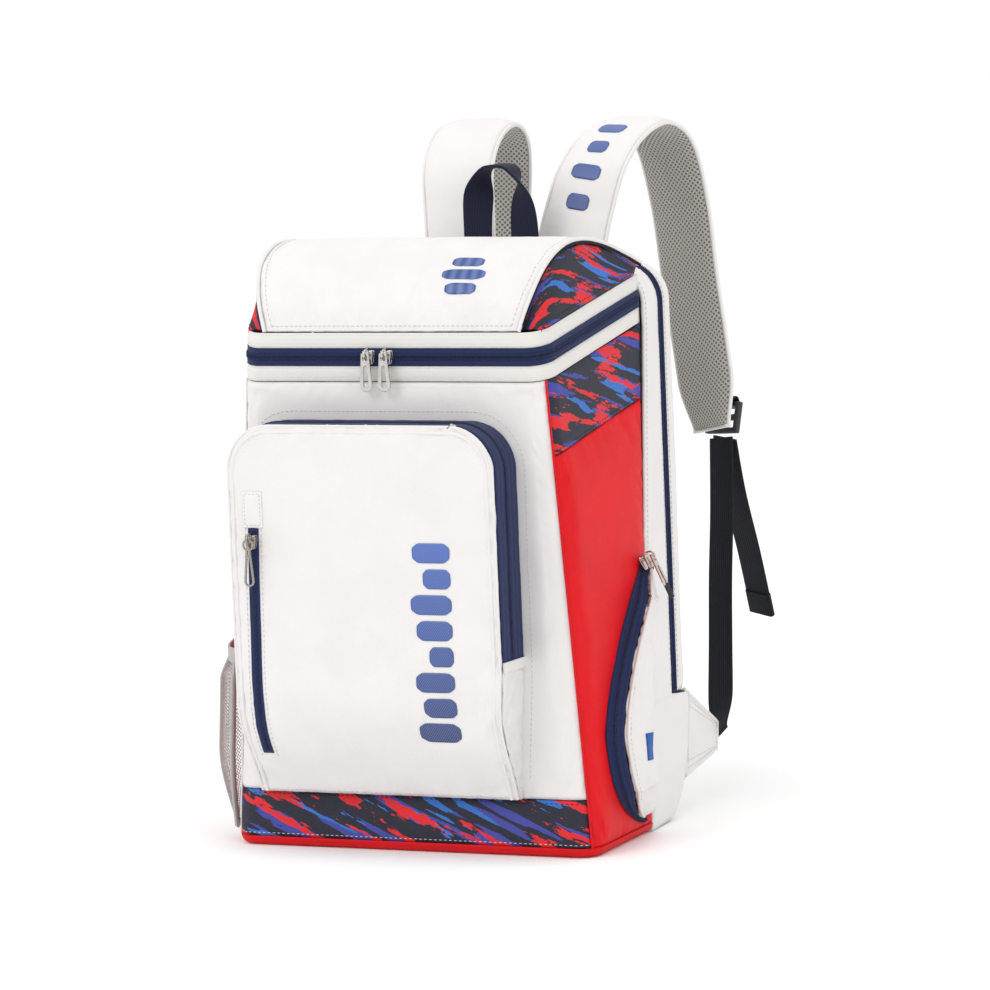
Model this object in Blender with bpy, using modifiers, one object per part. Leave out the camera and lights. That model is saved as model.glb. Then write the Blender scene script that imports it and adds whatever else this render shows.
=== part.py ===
"""Racket backpack: a boxy pack that stands on its base, front towards -Y, worn side towards +Y.

A domed lid opens on a zip that rises towards the rear. Behind the main compartment a flat rear
compartment opens like a clamshell and carries the back pads, grab handle and shoulder straps.
Metres, +Z up, origin on the floor under the pack.
"""
import math

import bmesh
import bpy
from mathutils import Matrix, Vector

# Driving dimensions
BASE_HALF_WIDTH = 0.155      # front face, at the floor
ZIP_HALF_WIDTH = 0.130       # front face, at the lid zip
REAR_HALF_WIDTH = 0.142      # rear compartment, all the way up
FRONT_Y = -0.100
BACK_Y = 0.116
FRONT_RADIUS = 0.018         # upright edges at the front
CORNER_RADIUS = 0.030        # top corners of the rear compartment
BASE_ROUND = 0.008           # rounded lower edge of the walls
ZIP_FRONT_Z = 0.3795         # centre line of the lid zip on the front face
ZIP_RISE = 0.20              # rise of the lid zip per metre towards the rear
LID_REAR_Y = 0.0565          # where the lid meets the rear compartment
REAR_TOP_Z = 0.436           # top of the rear compartment
REAR_ZIP_Y = 0.086
FLAP_HINGE_Z = 0.099         # lower end of the rear zip, where the back panel folds
FOOT_FRONT_Y = 0.0221        # the white foot lies flat behind the red tray from here
FOOT_TURN_Y = 0.064          # and from here it rises to the back
FABRIC = 0.0030              # coated fabric with its foam backing
TAPE = 0.0022                # zip tape and textile border
BOARD = 0.0050               # stiffened base
GAP = 0.0003                 # between sewn neighbours
RIM_Z = 0.0055               # top of the base tray's rim
BAND_LOW_Z = 0.0076          # printed band along the foot of the front
BAND_HIGH_Z = 0.0445
ZIP_HALF = 0.0065            # half height of the lid zip's two tapes
BORDER = 0.0120              # textile border above and below the zip
POCKET_LEFT, POCKET_RIGHT = -0.122, 0.103
POCKET_TOP_Z = 0.332
POCKET_DEPTH = 0.043
POCKET_RADIUS = 0.036
STRAP_WIDTH, STRAP_THICK = 0.060, 0.012
WEBBING_WIDTH, WEBBING_THICK = 0.025, 0.0018
HANDLE_WIDTH = 0.024

SEAM = 1.535                 # outline parameter of the front-to-side seam, on the corner
SIDES = (("left", -1), ("right", 1))


def clear_scene():
    for obj in list(bpy.data.objects):
        bpy.data.objects.remove(obj, do_unlink=True)


def material(name, colour, roughness, metallic=0.0):
    made = bpy.data.materials.new(name)
    made.use_nodes = True
    shader = made.node_tree.nodes["Principled BSDF"]
    shader.inputs["Base Color"].default_value = (*colour, 1)
    shader.inputs["Roughness"].default_value = roughness
    shader.inputs["Metallic"].default_value = metallic
    return made


def link(name, data, finish):
    obj = bpy.data.objects.new(name, data)
    data.materials.append(finish)
    PARTS.objects.link(obj)
    return obj


def lerp(a, b, t):
    return a + (b - a) * t


def smooth(t):
    t = min(1.0, max(0.0, t))
    return t * t * (3 - 2 * t)


def spline(points, t):
    """Catmull-Rom curve through points, t from 0 to 1."""
    count = len(points) - 1
    at = min(count - 1, int(t * count))
    t = t * count - at
    p = [Vector(points[max(0, min(count, at + i))]) for i in (-1, 0, 1, 2)]
    return 0.5 * (2 * p[1] + (p[2] - p[0]) * t + (2 * p[0] - 5 * p[1] + 4 * p[2] - p[3]) * t * t
                  + (3 * p[1] - p[0] - 3 * p[2] + p[3]) * t ** 3)


# ---------------------------------------------------------------- body outline

def zip_z(y):
    return ZIP_FRONT_Z + (y - FRONT_Y) * ZIP_RISE


def front_half_width(z):
    return lerp(BASE_HALF_WIDTH, ZIP_HALF_WIDTH, z / ZIP_FRONT_Z)


def side_x(y, z):
    """Half width of the wall at depth y: round the front corner, then straight to the back."""
    start, half = FRONT_Y + FRONT_RADIUS, front_half_width(z)
    if y < start:
        return half - FRONT_RADIUS + math.sqrt(FRONT_RADIUS ** 2 - (start - y) ** 2)
    return lerp(half, REAR_HALF_WIDTH, (y - start) / (BACK_Y - start))


def side_seam_y(z):
    """The seam between side panel and rear gusset leans forward towards the floor."""
    return lerp(0.022, LID_REAR_Y - 0.001, min(1.0, z / 0.39))


def foot_inset(z):
    """How far the rounded lower edge pulls the wall in at height z."""
    if z >= BASE_ROUND:
        return 0.0
    return BASE_ROUND - math.sqrt(BASE_ROUND ** 2 - (BASE_ROUND - z) ** 2)


def outline(s, z, rear_y=None):
    """Point of the wall at height z: |s| 0-1 front, 1-2 corner, 2-3 side up to its rear seam."""
    half, sign, s = front_half_width(z), math.copysign(1, s), abs(s)
    inset = foot_inset(z)
    straight = half - FRONT_RADIUS
    if s <= 1:
        x, y = straight * s, FRONT_Y + inset
    elif s <= 2:
        angle = (s - 1) * math.pi / 2
        reach = FRONT_RADIUS - inset
        x = straight + reach * math.sin(angle)
        y = FRONT_Y + FRONT_RADIUS - reach * math.cos(angle)
    else:
        end = side_seam_y(z) if rear_y is None else rear_y
        y = lerp(FRONT_Y + FRONT_RADIUS, end, s - 2)
        x = side_x(y, z) - inset
    return Vector((sign * x, y, z))


def on_zip(s, offset):
    """Point of the wall at a height measured from the centre line of the lid zip."""
    y = outline(s, ZIP_FRONT_Z, LID_REAR_Y - 0.001).y
    return outline(s, zip_z(y) + offset, LID_REAR_Y - 0.001)


# ---------------------------------------------------------------- mesh helpers

def sheet(name, point, columns, rows, thickness, finish, centre=(0, 0.01, 0.2)):
    """Panel through point(u, v), thickened towards the centre of the pack."""
    bm = bmesh.new()
    grid = [[bm.verts.new(point(i / columns, j / rows)) for i in range(columns + 1)]
            for j in range(rows + 1)]
    for low, high in zip(grid, grid[1:]):
        for i in range(columns):
            bm.faces.new((low[i], low[i + 1], high[i + 1], high[i]))
    bm.normal_update()
    outward = sum(f.normal.dot(f.calc_center_median() - Vector(centre)) * f.calc_area()
                  for f in bm.faces)
    if outward < 0:
        bmesh.ops.reverse_faces(bm, faces=bm.faces)
    mesh = bpy.data.meshes.new(name)
    bm.to_mesh(mesh)
    bm.free()
    mesh.shade_smooth()
    obj = link(name, mesh, finish)
    solid = obj.modifiers.new("thickness", "SOLIDIFY")
    solid.thickness = thickness
    solid.offset = -1
    return obj


def ribbon(name, route, width, thickness, steps, finish, across, taper=None):
    """Strap of rectangular section along route(t), its width along across(t)."""
    bm = bmesh.new()
    rings = []
    for i in range(steps + 1):
        t = i / steps
        point, side = Vector(route(t)), Vector(across(t)).normalized()
        ahead = (Vector(route(min(1, t + 0.01))) - Vector(route(max(0, t - 0.01)))).normalized()
        side = (side - ahead * side.dot(ahead)).normalized()
        normal = side.cross(ahead)
        wide = side * width * (taper(t) if taper else 1) / 2
        deep = normal * thickness / 2
        rings.append([bm.verts.new(point + a * wide + b * deep)
                      for a, b in ((-1, -1), (1, -1), (1, 1), (-1, 1))])
    for ring, after in zip(rings, rings[1:]):
        for k in range(4):
            bm.faces.new((ring[k], ring[(k + 1) % 4], after[(k + 1) % 4], after[k]))
    bm.faces.new(rings[0][::-1])
    bm.faces.new(rings[-1])
    bmesh.ops.recalc_face_normals(bm, faces=bm.faces)
    mesh = bpy.data.meshes.new(name)
    bm.to_mesh(mesh)
    bm.free()
    return link(name, mesh, finish)


def block_mesh(name, size):
    mesh = bpy.data.meshes.new(name)
    bm = bmesh.new()
    bmesh.ops.create_cube(bm, size=1)
    bmesh.ops.scale(bm, vec=size, verts=bm.verts)
    bm.to_mesh(mesh)
    bm.free()
    return mesh


def box(name, size, place, finish, bevel=0.0):
    obj = link(name, block_mesh(name, size), finish)
    obj.matrix_world = place
    if bevel:
        rounding = obj.modifiers.new("edges", "BEVEL")
        rounding.width = bevel
        rounding.segments = 1
    return obj


def cut_window(obj, name, size, place):
    window = bpy.data.objects.new(name, block_mesh(name, size))
    CUTTERS.objects.link(window)
    window.matrix_world = place
    window.hide_render = True
    window.display_type = "WIRE"
    cut = obj.modifiers.new(name, "BOOLEAN")
    cut.operation = "DIFFERENCE"
    cut.object = window


def frame_at(origin, outward, up):
    """Matrix with local -Y along outward and local +Z close to up."""
    inward = -Vector(outward).normalized()
    up = Vector(up)
    up = (up - inward * up.dot(inward)).normalized()
    right = inward.cross(up)
    turn = Matrix((right, inward, up)).transposed().to_4x4()
    return Matrix.Translation(Vector(origin)) @ turn


# ---------------------------------------------------------------- walls and base

def build_base(board):
    """Stiffened tray: a rounded rim that turns under onto a flat bottom, open at the rear edge."""
    rear, rim_share = FOOT_FRONT_Y - 0.0006, 0.3

    def tray(u, v):
        s = lerp(-3, 3, u)
        if v < rim_share:
            return outline(s, RIM_Z * (1 - v / rim_share) ** 2, rear)
        shrink = lerp(1, 0.03, (v - rim_share) / (1 - rim_share))
        edge = outline(s, 0, rear)
        return Vector((edge.x * shrink, rear + (edge.y - rear) * shrink, 0))

    sheet("base_tray", tray, 32, 8, BOARD, board)


def diagonal_z(y):
    """Seam between the plain side panel and its printed upper part."""
    return lerp(0.3055, 0.3335, (y + 0.09) / 0.14)


def build_walls(white, red, printed):
    seam_gap = 0.015
    edge = SEAM - seam_gap

    def front(u, v):
        s = lerp(-edge, edge, u)
        high = on_zip(s, -ZIP_HALF - BORDER - 2 * GAP).z
        return outline(s, lerp(BAND_HIGH_Z + GAP, high, v))

    sheet("front_panel", front, 24, 5, FABRIC, white)

    def band(u, v):
        return outline(lerp(-edge, edge, u), lerp(BAND_LOW_Z, BAND_HIGH_Z - GAP, v * v))

    sheet("front_band", band, 24, 4, FABRIC, printed)
    for side, sign in SIDES:
        def lower(u, v, sign=sign):
            s = sign * lerp(SEAM + seam_gap, 3, u)
            return outline(s, lerp(BAND_LOW_Z, diagonal_z(outline(s, 0.32).y) - GAP, v ** 1.6))

        def upper(u, v, sign=sign):
            s = sign * lerp(SEAM + seam_gap, 3, u)
            y = outline(s, 0.32).y
            return outline(s, lerp(diagonal_z(y) + GAP, zip_z(y) - ZIP_HALF - BORDER - 2 * GAP, v))

        sheet("side_panel_" + side, lower, 10, 8, FABRIC, red)
        sheet("side_print_" + side, upper, 10, 3, FABRIC, printed)


def build_lid_zip(navy, cream):
    bands = (
        ("lower_border", -ZIP_HALF - BORDER, -ZIP_HALF - GAP, cream),
        ("lower_zip_tape", -ZIP_HALF, -GAP, navy),
        ("upper_zip_tape", GAP, ZIP_HALF, navy),
        ("upper_border", ZIP_HALF + GAP, ZIP_HALF + BORDER, cream),
    )
    for name, low, high, finish in bands:
        def band(u, v, low=low, high=high):
            return on_zip(lerp(-3, 3, u), lerp(low, high, v))

        sheet(name, band, 36, 1, TAPE, finish, centre=(0, 0.05, 0.39))


# ---------------------------------------------------------------- lid

# Edge seam of the lid's top, from the front rim over the crest to the rear: x, y, z
LID_SEAM = (
    (0.1070, -0.0985, 0.3990), (0.1145, -0.0920, 0.4240), (0.1205, -0.0760, 0.4470),
    (0.1235, -0.0500, 0.4600), (0.1255, -0.0200, 0.4625), (0.1285, 0.0120, 0.4570),
    (0.1345, 0.0380, 0.4470), (0.1400, 0.0545, 0.4385),
)


def rim_at(y, offset):
    """Point of the lid's rim at depth y."""
    if y < FRONT_Y + FRONT_RADIUS:
        s = 1 + math.acos(1 - (y - FRONT_Y) / FRONT_RADIUS) / (math.pi / 2)
    else:
        start = FRONT_Y + FRONT_RADIUS
        s = 2 + (y - start) / (LID_REAR_Y - 0.001 - start)
    return on_zip(s, offset)


def build_lid(white, printed):
    def top(u, v):
        edge = spline(LID_SEAM, v)
        return Vector((lerp(-edge.x + GAP, edge.x - GAP, u), edge.y, edge.z))

    sheet("lid_top", top, 12, 18, FABRIC, white, centre=(0, 0, 0.38))
    for side, sign in SIDES:
        def wall(u, v, sign=sign):
            at = lerp(0.10, 0.965, u)
            edge = spline(LID_SEAM, at)
            ahead = spline(LID_SEAM, at + 0.01) - spline(LID_SEAM, at - 0.01)
            under = Vector((0, ahead.z, -ahead.y)).normalized() * (FABRIC + 0.0014)
            edge = edge + under + Vector((0.0006, 0, 0))
            point = rim_at(edge.y, ZIP_HALF + BORDER + 4 * GAP).lerp(edge, v)
            return Vector((sign * point.x, point.y, point.z))

        sheet("lid_side_" + side, wall, 16, 5, FABRIC, printed, centre=(0, 0, 0.40))


# ---------------------------------------------------------------- rear compartment

def rear_path(t, low, inset=0.0):
    """(x, z) up the right side from z = low, over the rounded top and down the left side."""
    half, top = REAR_HALF_WIDTH - inset, REAR_TOP_Z - inset
    radius = CORNER_RADIUS - inset
    side, arc, flat = top - radius - low, radius * math.pi / 2, 2 * (half - radius)
    run = t * (2 * side + 2 * arc + flat)
    mirrored = run > side + arc + flat / 2
    if mirrored:
        run = 2 * side + 2 * arc + flat - run
    if run < side:
        x, z = half, low + run
    elif run < side + arc:
        angle = (run - side) / radius
        x = half - radius + radius * math.cos(angle)
        z = top - radius + radius * math.sin(angle)
    else:
        x, z = half - radius - (run - side - arc), top
    return (-x if mirrored else x), z


def bottom_curve(angle):
    """(y, z) of the rounded foot behind the base, from the floor up to the fold of the back."""
    return (lerp(FOOT_TURN_Y, BACK_Y - 0.001, math.sin(angle)),
            (FLAP_HINGE_Z - 0.0015) * (1 - math.cos(angle)))


def foot_y(z):
    """Depth of the rounded foot at height z."""
    share = z / (FLAP_HINGE_Z - 0.0015)
    return bottom_curve(math.acos(max(0.0, min(1.0, 1 - share))))[0]


def rear_wall_x(share, z):
    """Half width of the rear gusset, flush with the side panel where that stands further out."""
    return max(REAR_HALF_WIDTH, lerp(side_x(side_seam_y(z), z), REAR_HALF_WIDTH, share))


def build_rear(white, navy, lining):
    zip_low = FLAP_HINGE_Z + 0.001
    middle = (0, 0.09, 0.2)

    low, foot_share = 0.0004, 6 / 48
    above = (2 * (REAR_TOP_Z - CORNER_RADIUS - low) + math.pi * CORNER_RADIUS
             + 2 * (REAR_HALF_WIDTH - CORNER_RADIUS))
    step_low, step_high = (FLAP_HINGE_Z - 0.0025 - low) / above, (zip_low - 0.0008 - low) / above

    def gusset(u, v):
        """One strip over the whole compartment, wider below the zip, where it meets the foot."""
        end = min(u, 1 - u)
        if end <= foot_share:
            t = step_low * end / foot_share
        else:
            t = lerp(step_high, 0.5, (end - foot_share - 1 / 48) / (0.5 - foot_share - 1 / 48))
        x, z = rear_path(t if u < 0.5 else 1 - t, low)
        rear = REAR_ZIP_Y - 0.0038
        if end <= foot_share + 1e-6:
            rear = foot_y(z) - GAP
        if z < REAR_TOP_Z - CORNER_RADIUS:
            x = math.copysign(rear_wall_x(v, z), x)
        return Vector((x, lerp(side_seam_y(z) + 2 * GAP, rear, v), z))

    sheet("rear_gusset", gusset, 48, 2, FABRIC, white, centre=middle)
    tapes = (("rear_zip_front_tape", -0.0035, -GAP), ("rear_zip_rear_tape", GAP, 0.0035))
    for name, near, far in tapes:
        def tape(u, v, near=near, far=far):
            x, z = rear_path(u, zip_low)
            return Vector((x, REAR_ZIP_Y + lerp(near, far, v), z))

        sheet(name, tape, 36, 1, TAPE, navy, centre=middle)

    def shell(u, v):
        """Side wall behind the zip, rounding over onto the back face."""
        turn = 0.018
        start = REAR_ZIP_Y + 0.0038
        if v < 0.3:
            x, z = rear_path(u, zip_low)
            return Vector((x, lerp(start, BACK_Y - turn, v / 0.3), z))
        angle = (v - 0.3) / 0.7 * math.pi / 2
        x, z = rear_path(u, zip_low, turn * (1 - math.cos(angle)))
        return Vector((x, BACK_Y - turn + turn * math.sin(angle), z))

    sheet("back_shell", shell, 36, 5, FABRIC, white, centre=middle)

    def face(u, v):
        inset = 0.0212
        half, top, radius = REAR_HALF_WIDTH - inset, REAR_TOP_Z - inset, CORNER_RADIUS - inset
        z = lerp(zip_low, top, 1 - (1 - v) ** 2)
        if z > top - radius:
            half = half - radius + math.sqrt(max(0.0, radius ** 2 - (z - top + radius) ** 2))
        return Vector((lerp(-half, half, u), BACK_Y, z))

    sheet("back_panel", face, 8, 14, FABRIC, lining, centre=middle)

    def foot(u, v):
        y, z = lerp(FOOT_FRONT_Y, FOOT_TURN_Y, v / 0.2), 0.0
        if v > 0.2:
            y, z = bottom_curve((v - 0.2) / 0.8 * math.pi / 2)
        share = (y - side_seam_y(z)) / (foot_y(z) - side_seam_y(z))
        half = rear_wall_x(share, z) - FABRIC - 2 * GAP
        return Vector((lerp(-half, half, u), y, z))

    sheet("rear_foot", foot, 8, 15, FABRIC, white, centre=(0, 0.04, 0.2))

    def divider(u, v):
        half = REAR_HALF_WIDTH - FABRIC - 0.0035
        z = lerp(0.0045, REAR_TOP_Z - FABRIC - 0.0021, 1 - (1 - v) ** 2)
        over = z - (REAR_TOP_Z - CORNER_RADIUS)
        if over > 0:
            radius = CORNER_RADIUS - FABRIC - 0.0020
            arc = math.sqrt(max(0.0, radius ** 2 - over ** 2))
            half = REAR_HALF_WIDTH - CORNER_RADIUS + arc - 0.0035
        return Vector((lerp(-half, half, u), LID_REAR_Y + 0.0042, z))

    sheet("divider", divider, 6, 14, FABRIC, lining, centre=(0, 0, 0.2))


def build_back_pads(mesh_cloth):
    """Foam pads under air mesh on the worn side: two uprights and a lumbar pad."""
    def pad(name, centre_x, half, low, high, depth):
        def skin(u, v):
            across, along = math.sin(math.pi * u), math.sin(math.pi * v)
            crown = depth * (0.35 + 0.65 * (across * along) ** 0.5)
            return Vector((centre_x + lerp(-half, half, u), BACK_Y + 0.0005 + crown, lerp(low, high, v)))
        sheet(name, skin, 6, 10, depth * 0.33, mesh_cloth, centre=(0, 0, 0.25))

    pad("back_pad_left", -0.062, 0.044, 0.165, 0.385, 0.012)
    pad("back_pad_right", 0.062, 0.044, 0.165, 0.385, 0.012)
    pad("lumbar_pad", 0.0, 0.106, 0.108, 0.158, 0.012)


# ---------------------------------------------------------------- pockets

def pocket_depth(z):
    """The front pocket stands out fully above and tapers into the printed band below."""
    return POCKET_DEPTH * lerp(0.16, 1.0, smooth((z - 0.03) / 0.09))


def pocket_edge(z):
    """(left x, right x) of the pocket's face at height z, with its rounded top corners."""
    left, right = POCKET_LEFT, POCKET_RIGHT - 0.006 * (1 - smooth((z - 0.04) / 0.12))
    rise = z - (POCKET_TOP_Z - POCKET_RADIUS)
    if rise > 0:
        cut = POCKET_RADIUS - math.sqrt(max(0.0, POCKET_RADIUS ** 2 - rise ** 2))
        left, right = left + cut, right - cut
    return left, right


def pocket_path(t, low_left, low_right):
    """(x, z) up the pocket's left side, over its top and down its right side."""
    left, right, top, radius = POCKET_LEFT, POCKET_RIGHT, POCKET_TOP_Z, POCKET_RADIUS
    arc = radius * math.pi / 2
    up, flat, down = top - radius - low_left, right - left - 2 * radius, top - radius - low_right
    run = t * (up + arc + flat + arc + down)
    if run < up:
        z = low_left + run
        return pocket_edge(z)[0], z
    run -= up
    if run < arc:
        angle = run / radius
        return left + radius - radius * math.cos(angle), top - radius + radius * math.sin(angle)
    run -= arc
    if run < flat:
        return left + radius + run, top
    run -= flat
    if run < arc:
        angle = run / radius
        return right - radius + radius * math.sin(angle), top - radius + radius * math.cos(angle)
    z = top - radius - (run - arc)
    return pocket_edge(z)[1], z


POCKET_ZIP_LEFT_Z, POCKET_ZIP_RIGHT_Z = 0.235, 0.149


def build_front_pocket(white, navy):
    low = BAND_HIGH_Z + GAP

    def face(u, v):
        z = lerp(low, POCKET_TOP_Z, 1 - (1 - v) ** 1.8)
        left, right = pocket_edge(z)
        return Vector((lerp(left, right, u), FRONT_Y - pocket_depth(z), z))

    sheet("front_pocket_panel", face, 8, 18, FABRIC, white)

    def wall(name, path, columns, finish):
        def point(u, v):
            x, z = path(u)
            behind_face = FRONT_Y - pocket_depth(z) + 1.4 * FABRIC + 2 * GAP
            return Vector((x, lerp(FRONT_Y - 2 * GAP, behind_face, v), z))

        sheet(name, point, columns, 1, TAPE, finish, centre=(0, -0.12, 0.2))

    wall("front_pocket_zip", lambda u: pocket_path(u, POCKET_ZIP_LEFT_Z, POCKET_ZIP_RIGHT_Z),
         30, navy)
    for side, index, top in (("left", 0, POCKET_ZIP_LEFT_Z), ("right", 1, POCKET_ZIP_RIGHT_Z)):
        def path(u, index=index, top=top):
            z = lerp(low, top - 2 * GAP, u)
            return pocket_edge(z)[index], z
        wall("front_pocket_gusset_" + side, path, 8, white)


SLOT_HIGH, SLOT_LOW = (-0.100, 0.254), (-0.1035, 0.078)     # x, z of the slot zip's ends


def on_pocket_face(x, z, proud):
    return Vector((x, FRONT_Y - pocket_depth(z) - proud, z))


def build_slot_zip(navy):
    def strip(u, v):
        x, z = (lerp(a, b, v) for a, b in zip(SLOT_LOW, SLOT_HIGH))
        return on_pocket_face(x + lerp(-0.0045, 0.0045, u), z, 0.0020)

    sheet("slot_zip", strip, 1, 20, 0.0014, navy)


def side_pocket_front(z):
    """Depth of the D-shaped side pocket's front edge at height z, foremost low down."""
    low, high, foremost_y, belly = 0.012, 0.2155, -0.0660, 0.36
    t = (z - low) / (high - low)
    if t > belly:
        return lerp(foremost_y, 0.0335, ((t - belly) / (1 - belly)) ** 1.45)
    below = (belly - t) / (belly + 0.002)
    return foremost_y + 0.080 * (1 - math.sqrt(max(0.0, 1 - below ** 2))) ** 1.15


def on_side(sign, y, z, proud):
    return Vector((sign * (side_x(y, z) + proud), y, z))


def side_bulge(u, v):
    return 0.013 * min(1.0, 2.2 * math.sin(math.pi * min(1.0, v))) * (1 - smooth((u - 0.55) / 0.45))


def build_side_pocket(white, navy):
    low, high = 0.0130, 0.2130

    def zip_strip(u, v):
        z = lerp(low, high, 0.5 - 0.5 * math.cos(math.pi * v))
        rise = 0.9 * side_bulge(0, (z - low) / (high - low))
        return on_side(1, side_pocket_front(z) + 0.009 * u, z, 0.0026 + u * rise)

    sheet("side_pocket_zip", zip_strip, 2, 22, 0.0018, navy, centre=(0, 0.03, 0.1))

    def panel(u, v):
        z = lerp(low + 0.004, high - 0.008, v)
        front, rear = side_pocket_front(z) + 0.0106, side_seam_y(z) - 0.001
        share = (z - low) / (high - low)
        return on_side(1, lerp(front, rear, u), z, 0.0042 + side_bulge(u, share))

    sheet("side_pocket_panel", panel, 8, 14, 0.0024, white, centre=(0, 0.03, 0.1))


def build_mesh_pocket(mesh_cloth):
    """Open-topped bottle pocket of netting on the left side."""
    front, rear, low, high = -0.090, 0.018, 0.013, 0.168

    def net(u, v):
        """Fullest towards the front and over most of its height, drawn in at the hem."""
        z = lerp(low, high - 0.020 * (1 - u), v)
        fullness = (0.12 + 0.88 * math.sin(min(1.0, v / 0.45) * math.pi / 2)) * (
            1 - 0.35 * smooth((v - 0.82) / 0.18))
        across = max(0.0, math.sin(math.pi * u ** 0.6)) ** 0.7
        y = lerp(front, rear + 0.01 * v, u)
        return on_side(-1, y, z, 0.0024 + 0.028 * across * fullness)

    sheet("mesh_pocket", net, 16, 12, 0.0012, mesh_cloth, centre=(0, -0.03, 0.1))


LEFT_ZIP_LOW, LEFT_ZIP_HIGH = (-0.078, 0.186), (0.030, 0.262)    # y, z of its ends


def build_left_zip(navy):
    def strip(u, v):
        y, z = (lerp(a, b, u) for a, b in zip(LEFT_ZIP_LOW, LEFT_ZIP_HIGH))
        return on_side(-1, y + lerp(0.003, -0.003, v), z + lerp(-0.004, 0.004, v), 0.0022)

    sheet("left_pocket_zip", strip, 12, 1, 0.0016, navy, centre=(0, -0.03, 0.1))


# ---------------------------------------------------------------- straps and webbing

# Centre line of the right shoulder strap, from its seam on the back, over, and down to its end
STRAP_ROUTE = (
    (0.0470, 0.1250, 0.4260), (0.0485, 0.1270, 0.4450), (0.0520, 0.1340, 0.4700),
    (0.0590, 0.1490, 0.5060), (0.0650, 0.1800, 0.5300), (0.0700, 0.2200, 0.5370),
    (0.0760, 0.2520, 0.5180), (0.0830, 0.2620, 0.4700), (0.0900, 0.2610, 0.4100),
    (0.1000, 0.2560, 0.3500), (0.1100, 0.2490, 0.2880),
)
# Adjusting webbing, from the buckle down to the triangular anchor
WEBBING_ROUTE = (
    (0.1122, 0.2612, 0.2800), (0.1155, 0.2490, 0.2200), (0.1190, 0.2340, 0.1700),
    (0.1240, 0.2180, 0.1200), (0.1310, 0.1980, 0.0780), (0.1390, 0.1765, 0.0520),
)
TAIL_ROUTE = (
    (0.1120, 0.2690, 0.2790), (0.1118, 0.2850, 0.2330), (0.1112, 0.3120, 0.1800),
    (0.1105, 0.3360, 0.1270),
)
STRAP_TURN = math.radians(20)      # the strap's end turns its inner face towards the wearer's side


def mirrored(points, sign):
    return [(sign * x, y, z) for x, y, z in points]


def turned(angle, sign):
    return Vector((math.cos(angle), -sign * math.sin(angle), 0))


def build_straps(white, black):
    def narrowing(t):
        return 1 - 0.35 * smooth((t - 0.93) / 0.07)

    for side, sign in SIDES:
        strap, webbing, tail = (mirrored(p, sign) for p in (STRAP_ROUTE, WEBBING_ROUTE, TAIL_ROUTE))

        def strap_across(t, sign=sign):
            return turned(STRAP_TURN * smooth(t), sign)

        def webbing_across(t, sign=sign):
            """Flat at the buckle, turned on edge where it is sewn to the anchor."""
            return turned(STRAP_TURN, sign).lerp(Vector((0, 0.45, 0.89)), smooth((t - 0.6) / 0.4))

        def tail_across(t, sign=sign):
            return turned(STRAP_TURN, sign)

        ribbon("shoulder_strap_" + side, lambda t, p=strap: spline(p, t), STRAP_WIDTH, STRAP_THICK,
               28, white, strap_across, narrowing)
        ribbon("webbing_" + side, lambda t, p=webbing: spline(p, t), WEBBING_WIDTH, WEBBING_THICK,
               14, black, webbing_across)
        ribbon("webbing_tail_" + side, lambda t, p=tail: spline(p, t), WEBBING_WIDTH,
               WEBBING_THICK * 1.4, 6, black, tail_across)
        build_buckle("buckle_" + side, sign, black)
        build_anchor("strap_anchor_" + side, sign, white)


def build_buckle(name, sign, black):
    """Ladder-lock: a frame with two bars, leaning with the webbing it grips."""
    width, height, deep, bar = 0.034, 0.026, 0.006, 0.005
    place = frame_at((sign * 0.1125, 0.2672, 0.2955), Vector((sign * -0.30, -0.90, 0.30)), (0, 0.2, 1))
    buckle = box(name, (width, deep, height), place, black)
    opening = (width - 2 * bar, deep * 3, (height - 3 * bar) / 2)
    for level, row in (("lower", -1), ("upper", 1)):
        middle = place @ Matrix.Translation((0, 0, row * (opening[2] + bar) / 2))
        cut_window(buckle, f"{name}_{level}_window", opening, middle)


def build_anchor(name, sign, white):
    """Stitched triangle between the foot of the back and the end of the webbing."""
    lower = [Vector(end) for end in mirrored(((0.1372, 0.1130, 0.0290), (0.1395, 0.1700, 0.0415)), sign)]
    upper = [Vector(end) for end in mirrored(((0.1372, 0.1172, 0.0965), (0.1395, 0.1735, 0.0620)), sign)]

    def plate(u, v):
        return lower[0].lerp(lower[1], u).lerp(upper[0].lerp(upper[1], u), v)

    sheet(name, plate, 4, 3, 0.0040, white, centre=(0, 0.14, 0.06))


def build_handle(navy):
    """Grab handle: both ends lie flat on the top seam, the crown of the loop turns edge-on."""
    half, low, high = 0.0205, REAR_TOP_Z + 0.001, 0.5115

    def route(t):
        angle = math.pi * t
        return Vector((-half * math.copysign(abs(math.cos(angle)) ** 0.55, math.cos(angle)),
                       0.1015, low + (high - low) * math.sin(angle) ** 0.62))

    def across(t):
        end = Vector((math.copysign(1, 0.5 - t), 0, 0))
        return end.lerp(Vector((0, 1, 0)), smooth(min(t, 1 - t) / 0.42))

    ribbon("grab_handle", route, HANDLE_WIDTH, 0.0022, 26, navy, across)


# ---------------------------------------------------------------- sliders and pulls

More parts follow.
